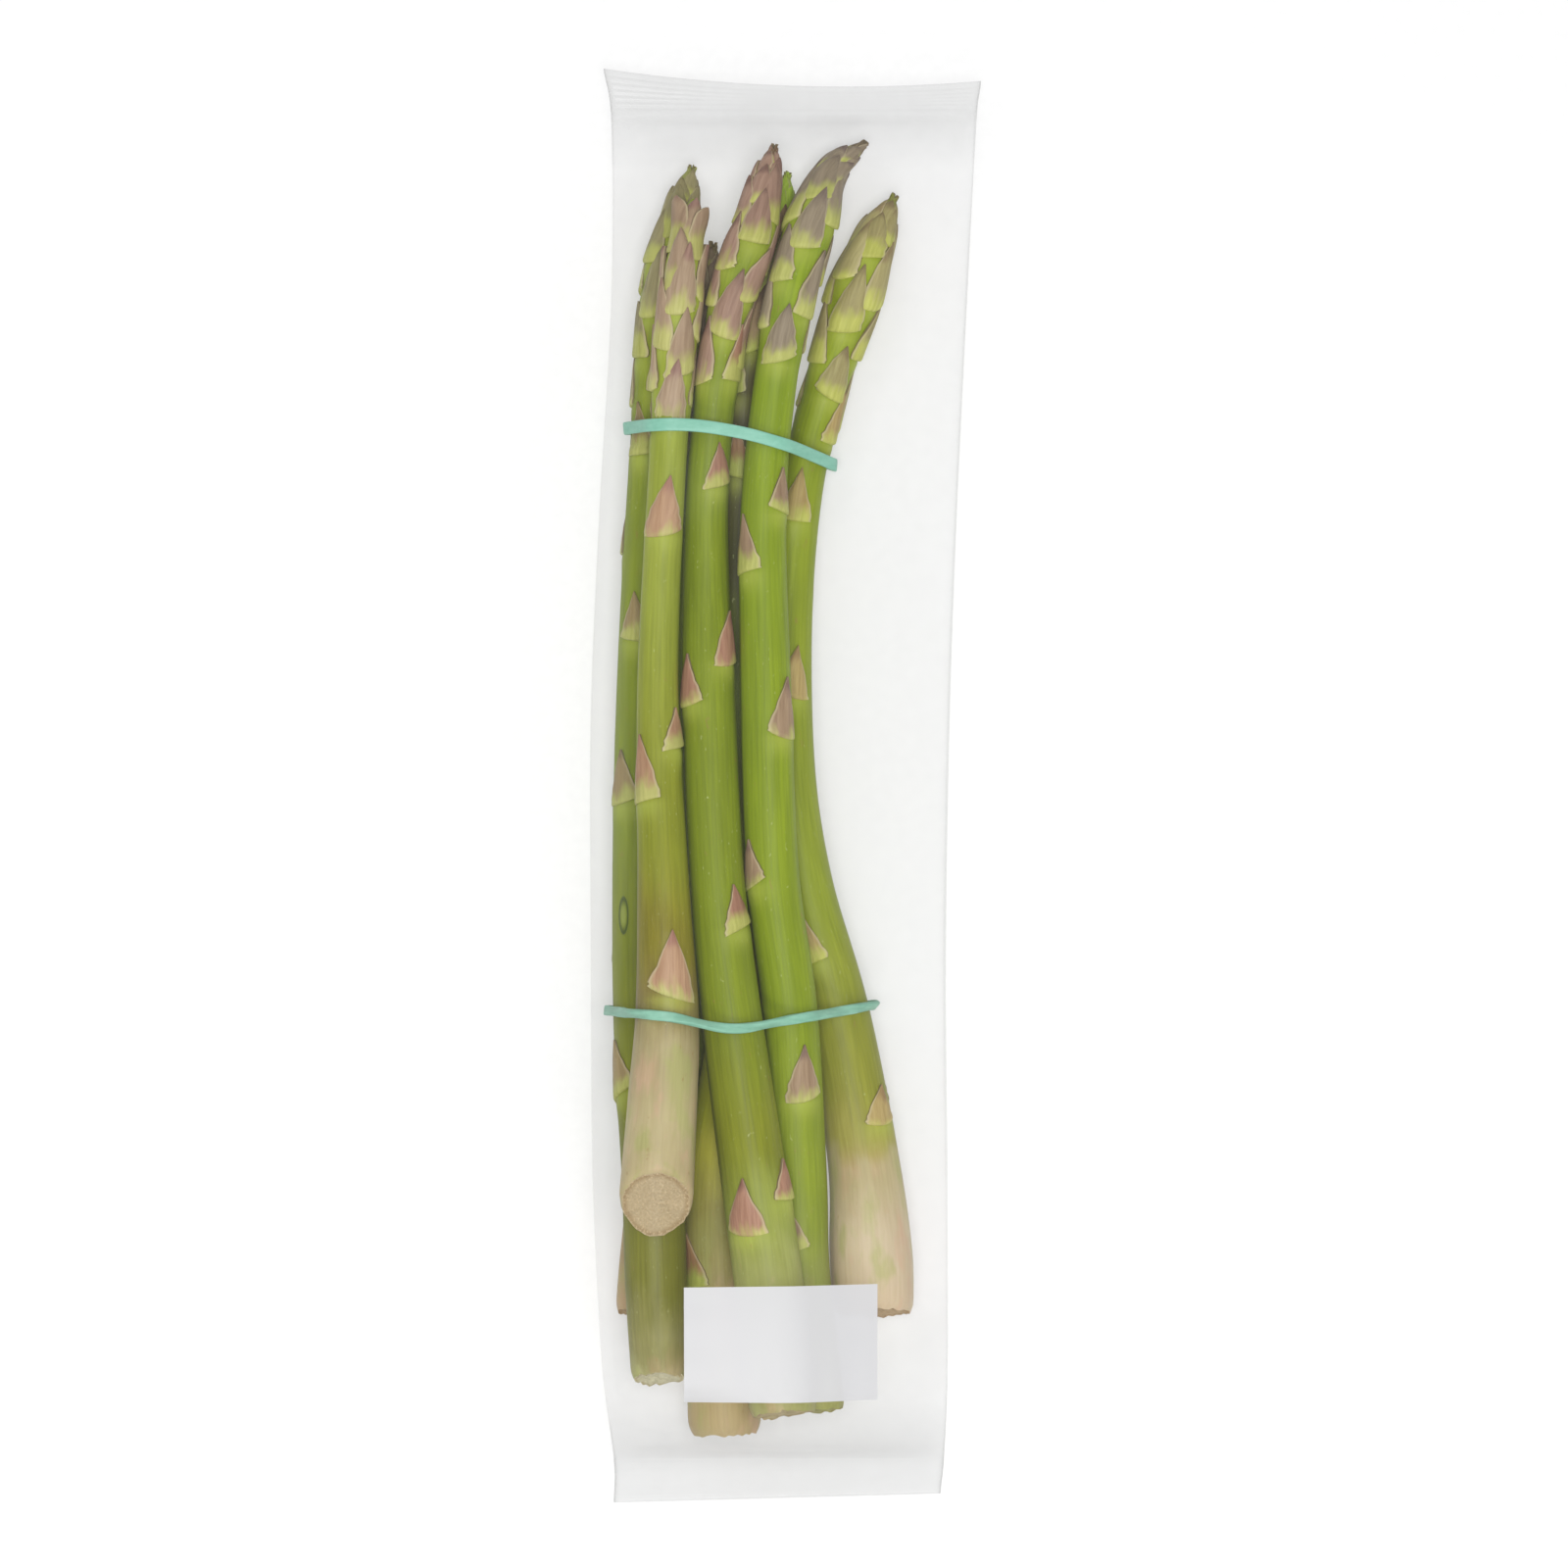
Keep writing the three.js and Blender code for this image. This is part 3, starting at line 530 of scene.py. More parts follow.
class Finish:
    """A node material with a Principled surface, and short calls to add nodes to it."""

    def __init__(self, name):
        self.material = bpy.data.materials.new(name)
        self.material.use_nodes = True
        self.nodes = self.material.node_tree.nodes
        self.links = self.material.node_tree.links
        self.surface = self.nodes["Principled BSDF"]

    def node(self, kind, inputs=None, **settings):
        made = self.nodes.new(kind)
        for key, value in settings.items():
            setattr(made, key, value)
        for key, value in (inputs or {}).items():
            if isinstance(value, bpy.types.NodeSocket):
                self.links.new(value, made.inputs[key])
            else:
                made.inputs[key].default_value = value
        return made

    def value(self, name):
        return self.node("ShaderNodeAttribute", attribute_name=name)

    def calc(self, operation, a, b, clamp=False):
        return self.node("ShaderNodeMath", {0: a, 1: b}, operation=operation, use_clamp=clamp).outputs[0]

    def noise(self, place, stretch, scale, detail=3.0, rough=0.55):
        spread = self.node("ShaderNodeVectorMath", {0: place, 1: stretch}, operation="MULTIPLY")
        inputs = {"Vector": spread.outputs[0], "Scale": scale, "Detail": detail, "Roughness": rough}
        return self.node("ShaderNodeTexNoise", inputs).outputs["Fac"]

    def ramp(self, value, stops, smooth="LINEAR"):
        made = self.node("ShaderNodeValToRGB", {"Fac": value})
        made.color_ramp.interpolation = smooth
        points = made.color_ramp.elements
        while len(points) < len(stops):
            points.new(0.5)
        for point, (at, colour) in zip(points, sorted(stops)):
            point.position = at
            point.color = colour
        return made.outputs["Color"]

    def mix(self, factor, a, b, blend="MIX"):
        made = self.node("ShaderNodeMix", data_type="RGBA", blend_type=blend)
        for socket, value in zip((made.inputs[0], made.inputs[6], made.inputs[7]), (factor, a, b)):
            if isinstance(value, bpy.types.NodeSocket):
                self.links.new(value, socket)
            else:
                socket.default_value = value
        return made.outputs[2]

    def bump(self, height, depth, strength=1.0):
        made = self.node("ShaderNodeBump", {"Height": height, "Distance": depth, "Strength": strength})
        self.links.new(made.outputs[0], self.surface.inputs["Normal"])

    def set(self, **values):
        for key, value in values.items():
            socket = self.surface.inputs[key.replace("_", " ")]
            if isinstance(value, bpy.types.NodeSocket):
                self.links.new(value, socket)
            else:
                socket.default_value = value


def grey(value):
    return (value, value, value, 1.0)


def stem_skin(name, spear):
    """Waxy skin: colour by height, with painted light and painted shade in places, fine streaks, pale under
    each leaf, blotched where it is bleached.
    """
    f = Finish(name)
    grain = f.value("grain").outputs["Vector"]
    streak = f.noise(grain, (1, 1, 0.035), 1.5, 4)
    cloud = f.noise(grain, (1, 1, 0.3), 0.16, 2)
    blot = f.noise(grain, (1, 1, 0.4), 0.13, 3)
    low, high = spear["plan"][0][1], spear["plan"][-1][1]
    pale = (spear["pale"] - low) / (high - low)
    stray = f.calc("MULTIPLY", f.calc("SUBTRACT", blot, 0.5), 0.08)
    height = f.calc("ADD", f.value("part").outputs["Fac"], stray)
    # The colours by height hold some painted light and painted shade where neighbours shade the spear.
    colour = f.ramp(height, [((y - low) / (high - low), linear(c)) for y, c in spear["skin"]], "EASE")
    bleached = f.node("ShaderNodeMapRange", {0: height, 1: pale + 0.02, 2: pale - 0.03}).outputs[0]
    green_blotch = ((0.36, 0.5), (0.47, 0)), (160, 166, 92)
    pink_blotch = ((0.53, 0), (0.64, 0.5)), (204, 164, 138)
    for stops, blotch in (green_blotch, pink_blotch):
        patch = f.ramp(blot, [(at, grey(value)) for at, value in stops])
        colour = f.mix(f.calc("MULTIPLY", patch, bleached), colour, linear(blotch))
    fibrous = f.node("ShaderNodeMapRange", {0: bleached, 3: 0.58, 4: 0.3}).outputs[0]
    colour = f.mix(fibrous, colour, f.ramp(streak, [(0.3, grey(0.34)), (0.7, grey(0.66))]), "SOFT_LIGHT")
    pores = f.noise(grain, (1, 1, 0.6), 1.3, 2)
    colour = f.mix(f.ramp(pores, [(0.68, grey(0)), (0.78, grey(0.4))]), colour, linear((196, 204, 140)))
    colour = f.mix(0.5, colour, f.ramp(cloud, [(0.3, grey(0.4)), (0.7, grey(0.6))]), "SOFT_LIGHT")
    ledge = f.calc("MULTIPLY", f.value("rim").outputs["Fac"], 0.6)
    colour = f.mix(ledge, colour, linear((172, 182, 76)))
    fleck = f.noise(grain, (1, 1, 0.45), 0.55, 2)
    colour = f.mix(f.ramp(fleck, [(0.7, grey(0)), (0.78, grey(0.5))]), colour, linear((150, 116, 66)))
    if "scar" in spear:
        x, y, half_width, half_length = [value * MM for value in spear["scar"]]
        place = f.node("ShaderNodeTexCoord").outputs["Object"]
        offset = f.node("ShaderNodeVectorMath", {0: place, 1: (x, y, 0)}, operation="SUBTRACT").outputs[0]
        shrink = (1 / half_width, 1 / half_length, 0)
        offset = f.node("ShaderNodeVectorMath", {0: offset, 1: shrink}, operation="MULTIPLY").outputs[0]
        away = f.node("ShaderNodeVectorMath", {0: offset}, operation="LENGTH").outputs["Value"]
        colour = f.mix(f.ramp(away, [(0.3, grey(0.5)), (0.7, grey(0))]), colour, linear((156, 170, 84)))
        slit = f.ramp(away, [(0.5, grey(0)), (0.8, grey(0.9)), (0.9, grey(0.9)), (1, grey(0))])
        colour = f.mix(slit, colour, linear((62, 78, 22)))
    f.bump(streak, 0.00012, 0.5)
    f.set(Base_Color=colour, Roughness=f.ramp(streak, [(0.2, grey(0.4)), (0.8, grey(0.56))]))
    f.set(Specular_IOR_Level=0.22, Subsurface_Weight=0.06, Subsurface_Scale=0.002)
    f.surface.inputs["Subsurface Radius"].default_value = (0.7, 1.0, 0.2)
    return f.material


TUFT_MARK = 1.2


def leaf_skin(name, scales, tip):
    """Papery scale leaf: yellow-green ledge at the base, mauve above it, long veins, a thin pale margin, and
    a painted shadow line at its edge.
    """
    f = Finish(name)
    grain = f.value("grain").outputs["Vector"]
    vein = f.noise(grain, (1, 1, 0.07), 1.7, 4)
    cloud = f.noise(grain, (1, 1, 0.4), 0.35, 2)
    base, middle, point = [linear(c) for c in scales]
    stray = f.calc("ADD", f.calc("MULTIPLY", f.calc("SUBTRACT", vein, 0.5), 0.2),
                  f.calc("MULTIPLY", f.calc("SUBTRACT", cloud, 0.5), 0.6))
    part = f.value("part").outputs["Fac"]
    chance = f.node("ShaderNodeSeparateXYZ", {0: grain}).outputs[1]
    along = f.calc("ADD", f.calc("ADD", part, stray), f.calc("MULTIPLY", chance, 0.005))
    colour = f.ramp(along, [(0.0, base), (0.14, base), (0.42, middle), (0.75, middle), (1.0, point)], "EASE")
    colour = f.mix(f.calc("GREATER_THAN", part, TUFT_MARK), colour, linear(tip))
    colour = f.mix(0.8, colour, f.ramp(vein, [(0.3, grey(0.32)), (0.7, grey(0.68))]), "SOFT_LIGHT")
    spread = {0: chance, 1: -CHANCE_APART, 2: CHANCE_APART, 3: 0.36, 4: 0.64}
    shade = f.node("ShaderNodeMapRange", spread).outputs[0]
    colour = f.mix(0.7, colour, shade, "SOFT_LIGHT")
    rim = f.value("rim").outputs["Fac"]
    colour = f.mix(f.ramp(rim, [(0.8, grey(0)), (0.93, grey(0.6))]), colour, linear((194, 182, 144)))
    # Painted shadow: the outermost edge and side walls of each scale are painted dark brown as a shadow line
    # under it.
    colour = f.mix(f.ramp(rim, [(0.96, grey(0)), (1.0, grey(0.7))]), colour, linear((92, 74, 44)))
    f.bump(vein, 0.00018, 0.7)
    f.set(Base_Color=colour, Roughness=f.ramp(cloud, [(0.3, grey(0.46)), (0.7, grey(0.6))]))
    f.set(Specular_IOR_Level=0.25)
    return f.material


def cut_flesh(name, tone):
    """Dried cut: tan flesh dotted with the ends of the fibres, browner at its edge."""
    f = Finish(name)
    grain = f.value("grain").outputs["Vector"]
    dots = f.node("ShaderNodeTexVoronoi", {"Vector": grain, "Scale": 1.15}, feature="F1").outputs["Distance"]
    rough = f.noise(grain, (1, 1, 1), 1.6, 5, 0.65)
    stray = f.calc("MULTIPLY", f.calc("SUBTRACT", rough, 0.5), 0.2)
    part = f.calc("ADD", f.value("part").outputs["Fac"], stray)
    flesh = linear(tone)
    brown = linear([0.88 * tone[0], 0.84 * tone[1], 0.78 * tone[2]])
    pale = linear([min(255, 1.1 * value) for value in tone])
    colour = f.ramp(part, [(0.0, flesh), (0.8, flesh), (0.93, brown), (1.0, flesh)])
    colour = f.mix(f.ramp(dots, [(0.15, grey(0.7)), (0.4, grey(0))]), colour, pale)
    colour = f.mix(0.8, colour, f.ramp(rough, [(0.3, grey(0.3)), (0.7, grey(0.7))]), "SOFT_LIGHT")
    f.bump(rough, 0.0004, 0.8)
    f.set(Base_Color=colour, Roughness=0.75, Specular_IOR_Level=0.2)
    return f.material


def place_mesh(name, corners, faces):
    """Smooth mesh object from corners in millimetres."""
    mesh = bpy.data.meshes.new(name)
    mesh.from_pydata([[c * MM for c in corner] for corner in corners], [], faces)
    mesh.polygons.foreach_set("use_smooth", [True] * len(mesh.polygons))
    made = bpy.data.objects.new(name, mesh)
    bpy.context.collection.objects.link(made)
    return made


def write_values(made, **layers):
    """Values at each corner that the materials read."""
    for key, values in layers.items():
        vector = np.ndim(values) == 2
        layer = made.data.attributes.new(key, "FLOAT_VECTOR" if vector else "FLOAT", "POINT")
        layer.data.foreach_set("vector" if vector else "value", np.asarray(values, np.float32).ravel())


SPIRAL = 137.5
SPIRAL_STRAY = 14
BUD_SCALES = 26
BUD_START = 2.4
BUD_PITCH = 0.95
BUD_GROWTH = 1.06
BUD_RISE = 1.1
BUD_OVALS = 20
POINT_RISE = 1.05
POINTS_END = 24
TIP_SCALES = 14
TIP_TURN = 50
TIP_OPEN = 0.3
LEAF_RISE = 0.95
LEAF_STAND = 0.15
LEAF_WIDTHS = [-100, 0, 90], [4.6, 4.2, 3.6]
SCALE_TONES = (0, 1)
TUFT_TONES = (1.3, 1.5)
LEAF_TONES = (0.14, 1)
LEAF_WARMTH = (1.06, 0.98, 0.93)
SHARP_EDGE = 50


def grown_leaves(spear, order):
    """All the scales and leaves of a spear, each as scale_leaf takes it: the bud, its tip, then the stem."""
    grown = []
    run_up = np.interp(np.arange(AXIS_STEPS + 1) * (FINE_STEPS // AXIS_STEPS), np.arange(FINE_STEPS + 1),
                       spear["run"][::-1])
    points = spear.get("points", [])
    for y, turn, length, half_width, lifted in points:
        at = float(np.interp(y, spear["axis"][:, 1], run_up))
        angle = math.radians(turn)
        grown.append((at, angle, length, half_width, POINT_RISE, lifted, BUD_FORM, SCALE_TONES))
    to_tip, step = BUD_START, BUD_PITCH
    for k in range(BUD_SCALES):
        angle = math.radians(spear["turn"] + SPIRAL * k + SPIRAL_STRAY * scatter(order, k))
        length = min(2.4 + 0.58 * to_tip, 14) * (1 + 0.14 * scatter(k, order + 9))
        half_width = min(2.0 + 0.11 * to_tip, 4.0)
        lifted = spear["open"] * (0.6 + 0.4 * scatter(k, order + 4))
        tones = TUFT_TONES if to_tip < spear["tuft"] else SCALE_TONES
        form = BUD_FORM if to_tip < BUD_OVALS else HEAD_FORM
        if not points or to_tip > POINTS_END:
            grown.append((to_tip, angle, length, half_width, BUD_RISE, lifted, form, tones))
        to_tip += step
        step *= BUD_GROWTH
    for k in range(0 if points else TIP_SCALES):
        angle = math.radians(spear["turn"] + TIP_TURN + SPIRAL * k)
        length, half_width = 2.2 + 0.25 * k, 0.5 + 0.09 * k
        rise = 0.7 + 0.3 * scatter(k, order)
        grown.append((0.5 + 0.35 * k, angle, length, half_width, rise, TIP_OPEN, BUD_FORM, TUFT_TONES))
    for y, turn, length, *broad in spear["leaves"]:
        at = float(np.interp(y, spear["axis"][:, 1], run_up))
        angle = math.radians(turn)
        half_width = broad[0] if broad else np.interp(y, *LEAF_WIDTHS)
        grown.append((at, angle, length, half_width, LEAF_RISE, LEAF_STAND, STEM_FORM, LEAF_TONES))
    return grown


for order, (name, spear) in enumerate(SPEARS.items()):
    skin = Skin()
    grown = grown_leaves(spear, order)
    rim, along = stem(skin, spear, [(leaf[0], leaf[1], leaf[3]) for leaf in grown], order)
    cut_face(skin, rim, along, order)
    for k, leaf in enumerate(grown):
        scale_leaf(skin, name, leaf, scatter(k + 3, order))
    dressed = place_mesh(name + "_grown", skin.corners, skin.faces)
    write_values(dressed, part=skin.part, grain=skin.grain, rim=skin.rim)
    warm = spear["scales"][:1] + [np.multiply(LEAF_WARMTH, tone).tolist() for tone in spear["scales"][1:]]
    dressed.data.materials.append(stem_skin(name + "_skin", spear))
    dressed.data.materials.append(leaf_skin(name + "_scales", spear["scales"], spear["tip"]))
    dressed.data.materials.append(cut_flesh(name + "_cut", spear["cut"]))
    dressed.data.materials.append(leaf_skin(name + "_leaves", warm, spear["tip"]))
    dressed.data.polygons.foreach_set("material_index", skin.kinds)
    dressed.data.set_sharp_from_angle(angle=math.radians(SHARP_EDGE))
    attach(dressed, "root")
    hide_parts(name)

# Rubber bands: two thin loops of pale green rubber, cut from a tube and stretched round the bundle.
# They run straight from spear to spear; the upper one lies flat, and the lower one has rolled over itself.
BAND_GAP = 0.75
BAND_SEAT = 0.15
BAND_POINTS = 260
BAND_EASE = 6
SECTION_POINTS = 20
SECTION_ROUND = 0.45
BAND_TONES = {
    "band_upper": ((140, 200, 178), (124, 188, 164)),
    "band_lower": ((142, 196, 172), (118, 172, 148)),
}
# Roll of each band about its own middle: how far, how many times round the bundle, and where it starts.
BAND_TWIST = {"band_upper": (0.1, 2, 0.6), "band_lower": (0.85, 5, 0.9)}


def outline_round(circles, directions):
    """Convex outline round circles [x, z, radius], anticlockwise from +x."""
    circles = np.array(circles)
    angle = 2 * np.pi * np.arange(directions) / directions
    normal = np.column_stack([np.cos(angle), np.sin(angle)])
    reach = circles[:, :2] @ normal.T + circles[:, 2:]
    best = reach.argmax(0)
    return circles[best, :2] + circles[best, 2:] * normal


def evenly(chain, count):
    """Points at even steps along a chain of points."""
    run = np.append(0, np.cumsum(np.linalg.norm(np.diff(chain, axis=0), axis=1)))
    want = np.linspace(0, run[-1], count)
    return np.column_stack([np.interp(want, run, chain[:, 0]), np.interp(want, run, chain[:, 1])])


def rubber(name, colour, shade):
    """Smooth rubber, slightly chalky, with faint marks across its width."""
    f = Finish(name)
    place = f.node("ShaderNodeTexCoord").outputs["Object"]
    chalk = f.noise(place, (1, 1, 1), 900, 4)
    long = f.noise(place, (1, 5, 1), 180, 2)
    tone = f.mix(f.ramp(long, [(0.3, grey(0)), (0.7, grey(1))]), linear(shade), linear(colour))
    tone = f.mix(0.25, tone, f.ramp(chalk, [(0.3, grey(0.35)), (0.7, grey(0.65))]), "SOFT_LIGHT")
    f.bump(chalk, 0.00005, 0.4)
    f.set(Base_Color=tone, Roughness=0.5, Specular_IOR_Level=0.4)
    return f.material


def squared(wave):
    """A round swing made squarer, for a section with rounded corners."""
    return np.sign(wave) * np.abs(wave) ** SECTION_ROUND


for name, band in BANDS.items():
    circles = []
    for spear in SPEARS.values():
        at = section_at(spear, band["y"])
        for turn in range(4):
            at = section_at(spear, band_height(band, at[0]))
        circles.append([at[0], at[1], at[2] + BAND_GAP])
    loop = outline_round(circles, 720)
    loop = evenly(np.vstack([loop, loop[:1]]), BAND_POINTS + 1)[:-1]
    for turn in range(BAND_EASE):
        loop = (np.roll(loop, 1, 0) + 2 * loop + np.roll(loop, -1, 0)) / 4
    run = np.roll(loop, -1, 0) - np.roll(loop, 1, 0)
    out = np.column_stack([run[:, 1], -run[:, 0]]) / np.linalg.norm(run, axis=1)[:, None]
    share = np.arange(BAND_POINTS) / BAND_POINTS
    swing, waves, start = BAND_TWIST[name]
    twist = swing * np.sin(2 * np.pi * waves * share + start)
    angle = 2 * np.pi * np.arange(SECTION_POINTS) / SECTION_POINTS
    wide = 0.5 * band["width"] * squared(np.cos(angle))
    deep = 0.5 * band["thick"] * squared(np.sin(angle))
    corners, faces = [], []
    for k in range(BAND_POINTS):
        middle_y = band_height(band, loop[k, 0])
        lift = BAND_SEAT + 0.5 * band["thick"] + math.cos(twist[k]) * deep + math.sin(twist[k]) * wide
        aside = math.cos(twist[k]) * wide - math.sin(twist[k]) * deep
        for up, across in zip(lift, aside):
            corners.append((loop[k, 0] + out[k, 0] * up, middle_y + across, loop[k, 1] + out[k, 1] * up))
        for j in range(SECTION_POINTS):
            here, next_ring = k * SECTION_POINTS, (k + 1) % BAND_POINTS * SECTION_POINTS
            side = (j + 1) % SECTION_POINTS
            faces.append((here + j, here + side, next_ring + side, next_ring + j))
    loop_band = place_mesh(name + "_rubber", corners, faces)
    loop_band.data.materials.append(rubber(name + "_green", *BAND_TONES[name]))
    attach(loop_band, "root")
    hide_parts(name)

# Film bag: a clear tube of thin film, drawn over the bundle, sealed flat across both ends and left bare but
# for one blank white panel printed on its front. It is stretched over the highest spears and folded at the
# sides.
FILM_CLEAR = 1.9
FILM_WALL = 0.5
FILM_FALL = 0.4
END_FALL = 5
END_REACH = 6
BAG_END = 163
BAG_HALF = 43
SEAL = 10.5
SEAL_BUTTS = 13
SEAL_TIPS = 9
SEAL_RISE = 118
FOLD_HEIGHT = 0.9
BAND_REACH = 8
SPAN = 60
SPAN_LEVEL = 14
BAG_COLUMNS = 64
# Left and right edge of the bag at heights y.
BAG_EDGES = [[-163, -39, 35.2], [-153, -39, 36], [-130, -42, 37], [-90, -44, 37],
             [-40, -44.42, 36.6], [13, -44.48, 37.4], [60, -42.6, 39], [110, -39.8, 41.4],
             [150, -39.6, 43.4], [163, -41.4, 44.5]]
edge_line = smooth_line(BAG_EDGES, 180)


def smoothstep(value, low, high):
    t = np.clip((value - low) / (high - low), 0, 1)
    return t * t * (3 - 2 * t)


def bag_row(y, flat):
    """Outline of the film at one height: stretched over the spears, pressed together as flat goes to 1."""
    left, right = [np.interp(y, edge_line[:, 0], edge_line[:, k]) for k in (1, 2)]
    seal = SEAL_BUTTS if y < 0 else SEAL_TIPS
    seat = FOLD_HEIGHT + (seal - FOLD_HEIGHT) * smoothstep(abs(y), SEAL_RISE, BAG_END - SEAL)
    fold = 0.4 - 0.3 * flat
    circles = [[left + fold, seat, fold], [right - fold, seat, fold]]
    ending = smoothstep(abs(y), 138, 149)
    fall = FILM_FALL + (END_FALL - FILM_FALL) * ending
    level = SPAN_LEVEL + (END_REACH - SPAN_LEVEL) * ending
    for away in range(-SPAN, SPAN + 1, 2):
        drop = fall * max(0, abs(away) - level)
        over_band = any(abs(band["y"] - y - away) < BAND_REACH for band in BANDS.values())
        for spear in SPEARS.values():
            at = section_at(spear, y + away)
            if at is not None:
                radius = at[2] + FILM_CLEAR + FILM_WALL + over_band
                share = max(0, 1 - drop / max(at[1] + radius - seat, 1)) * (1 - flat)
                circles.append([at[0], seat + (at[1] - seat) * share, max(radius * share, fold)])
    outline = outline_round(circles, 360)
    outline[:, 1] = np.maximum(outline[:, 1], 0.02)
    over = evenly(outline[:181], BAG_COLUMNS)
    under = evenly(np.vstack([outline[180:], outline[:1]]), BAG_COLUMNS)
    return np.vstack([over[:-1], under[:-1]])


def end_bow(end, across):
    """How far the cut edge of the film leaves a straight line, for the tip end and for the butt end."""
    return np.where(end > 0, -3.9 - 1.6 * across + 2.5 * across**2, 1.1 + 1.2 * across)


full_end = BAG_END - SEAL - 3.4
heights = np.concatenate([np.linspace(0, full_end, 62), full_end + np.array([0.9, 1.8, 2.6, 3.4]),
                          np.linspace(BAG_END - SEAL + 0.5, BAG_END, 22)])
heights = np.concatenate([-heights[:0:-1], heights])
rows = []
for y in heights:
    flat = smoothstep(abs(y), full_end, BAG_END - SEAL)
    row = bag_row(y, float(flat))
    bow = end_bow(y, row[:, 0] / BAG_HALF) * smoothstep(abs(y), BAG_END - SEAL, BAG_END)
    rows.append(np.column_stack([row[:, 0], y + bow, row[:, 1]]))
film = np.array(rows)
columns = film.shape[1]
half = columns // 2

# Soft creases run out of the seals, and each seal is crimped in fine lines across.
CREASE_REACH = 16
CREASE_HEIGHT = 0.9
PLEATS = (0.31, 0.4), (0.53, 1.9), (0.97, 3.1)
CRIMP_DEPTH = 0.14
CRIMP_PITCH = 1.5
to_seal = BAG_END - SEAL - np.abs(heights)
crease = np.exp(-np.maximum(to_seal, 0) / CREASE_REACH) * (to_seal > -0.01)
pleat = sum(np.sin(film[:, :, 0] * often + start) for often, start in PLEATS) / len(PLEATS)
film[:, :half, 2] += (CREASE_HEIGHT * crease[:, None] * (pleat + 1))[:, :half]
crimp = CRIMP_DEPTH * np.sin(np.abs(heights) * 2 * np.pi / CRIMP_PITCH) * (to_seal < -0.4)
film[:, :, 2] += crimp[:, None]

corners = film.reshape(-1, 3).tolist()
faces = []
for row in range(len(heights) - 1):
    for k in range(columns):
        a, b = row * columns + k, row * columns + (k + 1) % columns
        faces.append((a, a + columns, b + columns, b))
top = (len(heights) - 1) * columns
for k in range(2, half):
    faces.append((k - 1, k, columns - k, columns - k + 1))
    faces.append((top + k, top + k - 1, top + columns - k + 1, top + columns - k))
for k, back in ((1, columns - 1), (half, half + 1)):
    faces.append((k - 1, k, back))
    faces.append((top + k, top + k - 1, top + back))


# Blank panel: middle x and y, half width and half height. Its white ink lets some light through.
PANEL = (-1.0, -125.9, 21.8, 13.1)
INK = 0.95
INK_SHADOW_LIGHTEN = 0.6


def clear_film():
    """Clear film: barely there when faced, greyer at a slant and in its seals, with a blank white panel."""
    f = Finish("clear_film")
    sheet = f.node("ShaderNodeSeparateXYZ", {0: f.value("sheet").outputs["Vector"]})
    x, y, front = sheet.outputs
    inside = front
    for axis, middle, reach in ((x, PANEL[0], PANEL[2]), (y, PANEL[1], PANEL[3])):
        away = f.calc("ABSOLUTE", f.calc("SUBTRACT", axis, middle), 0)
        inside = f.calc("MULTIPLY", inside, f.calc("LESS_THAN", away, reach))
    slant = f.node("ShaderNodeLayerWeight", {"Blend": 0.35}).outputs["Facing"]
    place = f.node("ShaderNodeTexCoord").outputs["Object"]
    haze = f.noise(place, (1, 0.4, 1), 40, 2)
    ends = {0: f.calc("ABSOLUTE", y, 0), 1: BAG_END - 2.2 * SEAL, 2: BAG_END - SEAL, 3: 0.0, 4: 0.085}
    sealed = f.node("ShaderNodeMapRange", ends).outputs[0]
    # The film grows hazier towards the butts.
    butts = {0: y, 1: -112.0, 2: -150.0, 3: 0.0, 4: 0.03}
    butt_haze = f.node("ShaderNodeMapRange", butts).outputs[0]
    alpha = f.calc("ADD", f.calc("MULTIPLY", haze, 0.016), 0.044)
    alpha = f.calc("ADD", alpha, f.calc("MULTIPLY", f.calc("POWER", slant, 2.0), 0.13))
    alpha = f.calc("ADD", alpha, f.calc("ADD", butt_haze, sealed))
    # For shadow rays the panel is made thinner, so it casts a much lighter shadow than its opacity gives.
    shaded = f.node("ShaderNodeLightPath").outputs["Is Shadow Ray"]
    ink = f.calc("SUBTRACT", INK, f.calc("MULTIPLY", shaded, INK_SHADOW_LIGHTEN))
    alpha = f.calc("MAXIMUM", alpha, f.calc("MULTIPLY", inside, ink), True)
    f.set(Base_Color=f.mix(inside, linear((150, 152, 152)), linear((204, 204, 206))), Alpha=alpha)
    f.set(Roughness=f.mix(inside, grey(0.2), grey(0.6)), Specular_IOR_Level=0.4)
    return f.material


bag = place_mesh("film_bag_clear", corners, faces)
front = np.zeros((len(heights), columns))
front[:, : half + 1] = 1
write_values(bag, sheet=np.column_stack([film[:, :, 0].ravel(), film[:, :, 1].ravel(), front.ravel()]))
bag.data.materials.append(clear_film())
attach(bag, "root")
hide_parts("film_bag")

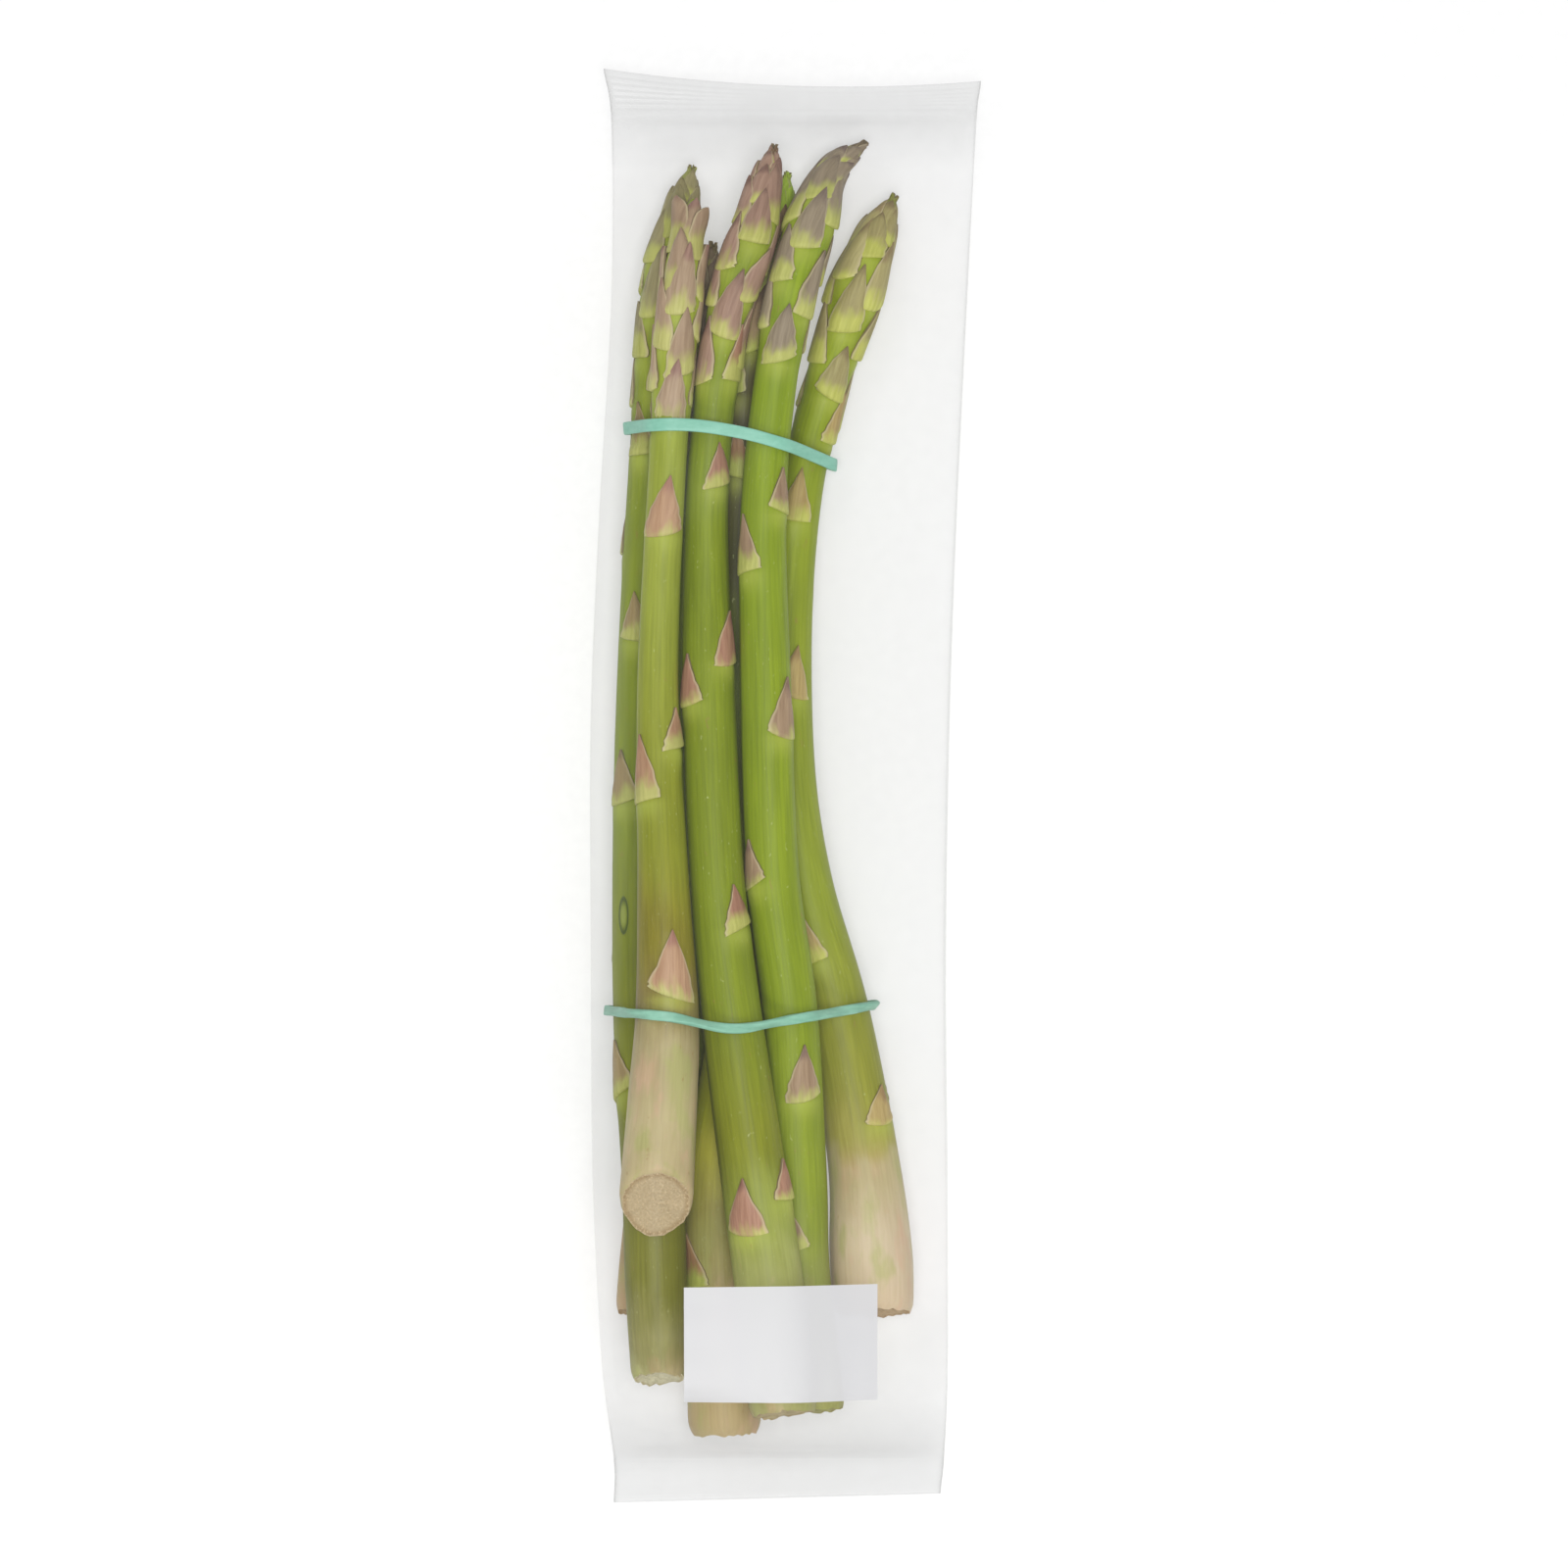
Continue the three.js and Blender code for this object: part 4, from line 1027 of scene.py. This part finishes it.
# Setting: a plain white light table, lit from inside, under soft and even studio light from above. The light
# is a little stronger from the side of the butts.
FLOOR_SIZE = 4.0
FLOOR_DROP = 0.0006
table = bpy.data.meshes.new("table_top")
reach = FLOOR_SIZE / 2
table.from_pydata([(-reach, -reach, -FLOOR_DROP), (reach, -reach, -FLOOR_DROP), (reach, reach, -FLOOR_DROP),
                   (-reach, reach, -FLOOR_DROP)], [], [(0, 1, 2, 3)])
floor = bpy.data.objects.new("table_top", table)
bpy.context.collection.objects.link(floor)
paper = Finish("white_table")
grit = paper.noise(paper.node("ShaderNodeTexCoord").outputs["Object"], (1, 1, 1), 400, 2)
paper.set(Base_Color=paper.ramp(grit, [(0.3, grey(0.52)), (0.7, grey(0.54))]))
paper.set(Roughness=0.9, Specular_IOR_Level=0.1)
paper.set(Emission_Color=(1.0, 1.0, 1.0, 1.0), Emission_Strength=0.4)
table.materials.append(paper.material)

world = bpy.context.scene.world or bpy.data.worlds.new("studio")
bpy.context.scene.world = world
world.use_nodes = True
world.node_tree.nodes["Background"].inputs["Color"].default_value = (1, 1, 1, 1)
world.node_tree.nodes["Background"].inputs["Strength"].default_value = 0.5


def softbox(name, place, size, power):
    """Round area lamp that faces the middle of the table."""
    lamp = bpy.data.lights.new(name, "AREA")
    lamp.shape = "DISK"
    lamp.size = size
    lamp.energy = power
    made = bpy.data.objects.new(name, lamp)
    made.location = place
    aim = -np.array(place)
    made.rotation_euler = (math.atan2(math.hypot(aim[0], aim[1]), -aim[2]), 0, math.atan2(aim[0], -aim[1]))
    bpy.context.collection.objects.link(made)


softbox("top_softbox", (0.05, -0.1, 1.6), 0.7, 14)
softbox("key_softbox", (0.15, -0.75, 1.0), 0.7, 10)
softbox("fill_softbox", (-0.5, 0.7, 1.2), 1.0, 5)

# Camera: straight above the bag, far enough away that the spears keep their plan, framed as a square.
CAMERA_HEIGHT = 3.0
FRAME_PIXELS = 1600
PIXELS_PER_MM = 4.5
FRAME_WIDTH = FRAME_PIXELS / PIXELS_PER_MM * MM
BUNDLE_MIDDLE = 0.018
SENSOR = 36
lens = bpy.data.cameras.new("camera")
lens.sensor_width = SENSOR
lens.lens = SENSOR * (CAMERA_HEIGHT - BUNDLE_MIDDLE) / FRAME_WIDTH
camera = bpy.data.objects.new("camera", lens)
camera.location = (-0.33 * MM, 0.22 * MM, CAMERA_HEIGHT)
bpy.context.collection.objects.link(camera)
bpy.context.scene.camera = camera
bpy.context.scene.view_settings.view_transform = "Standard"
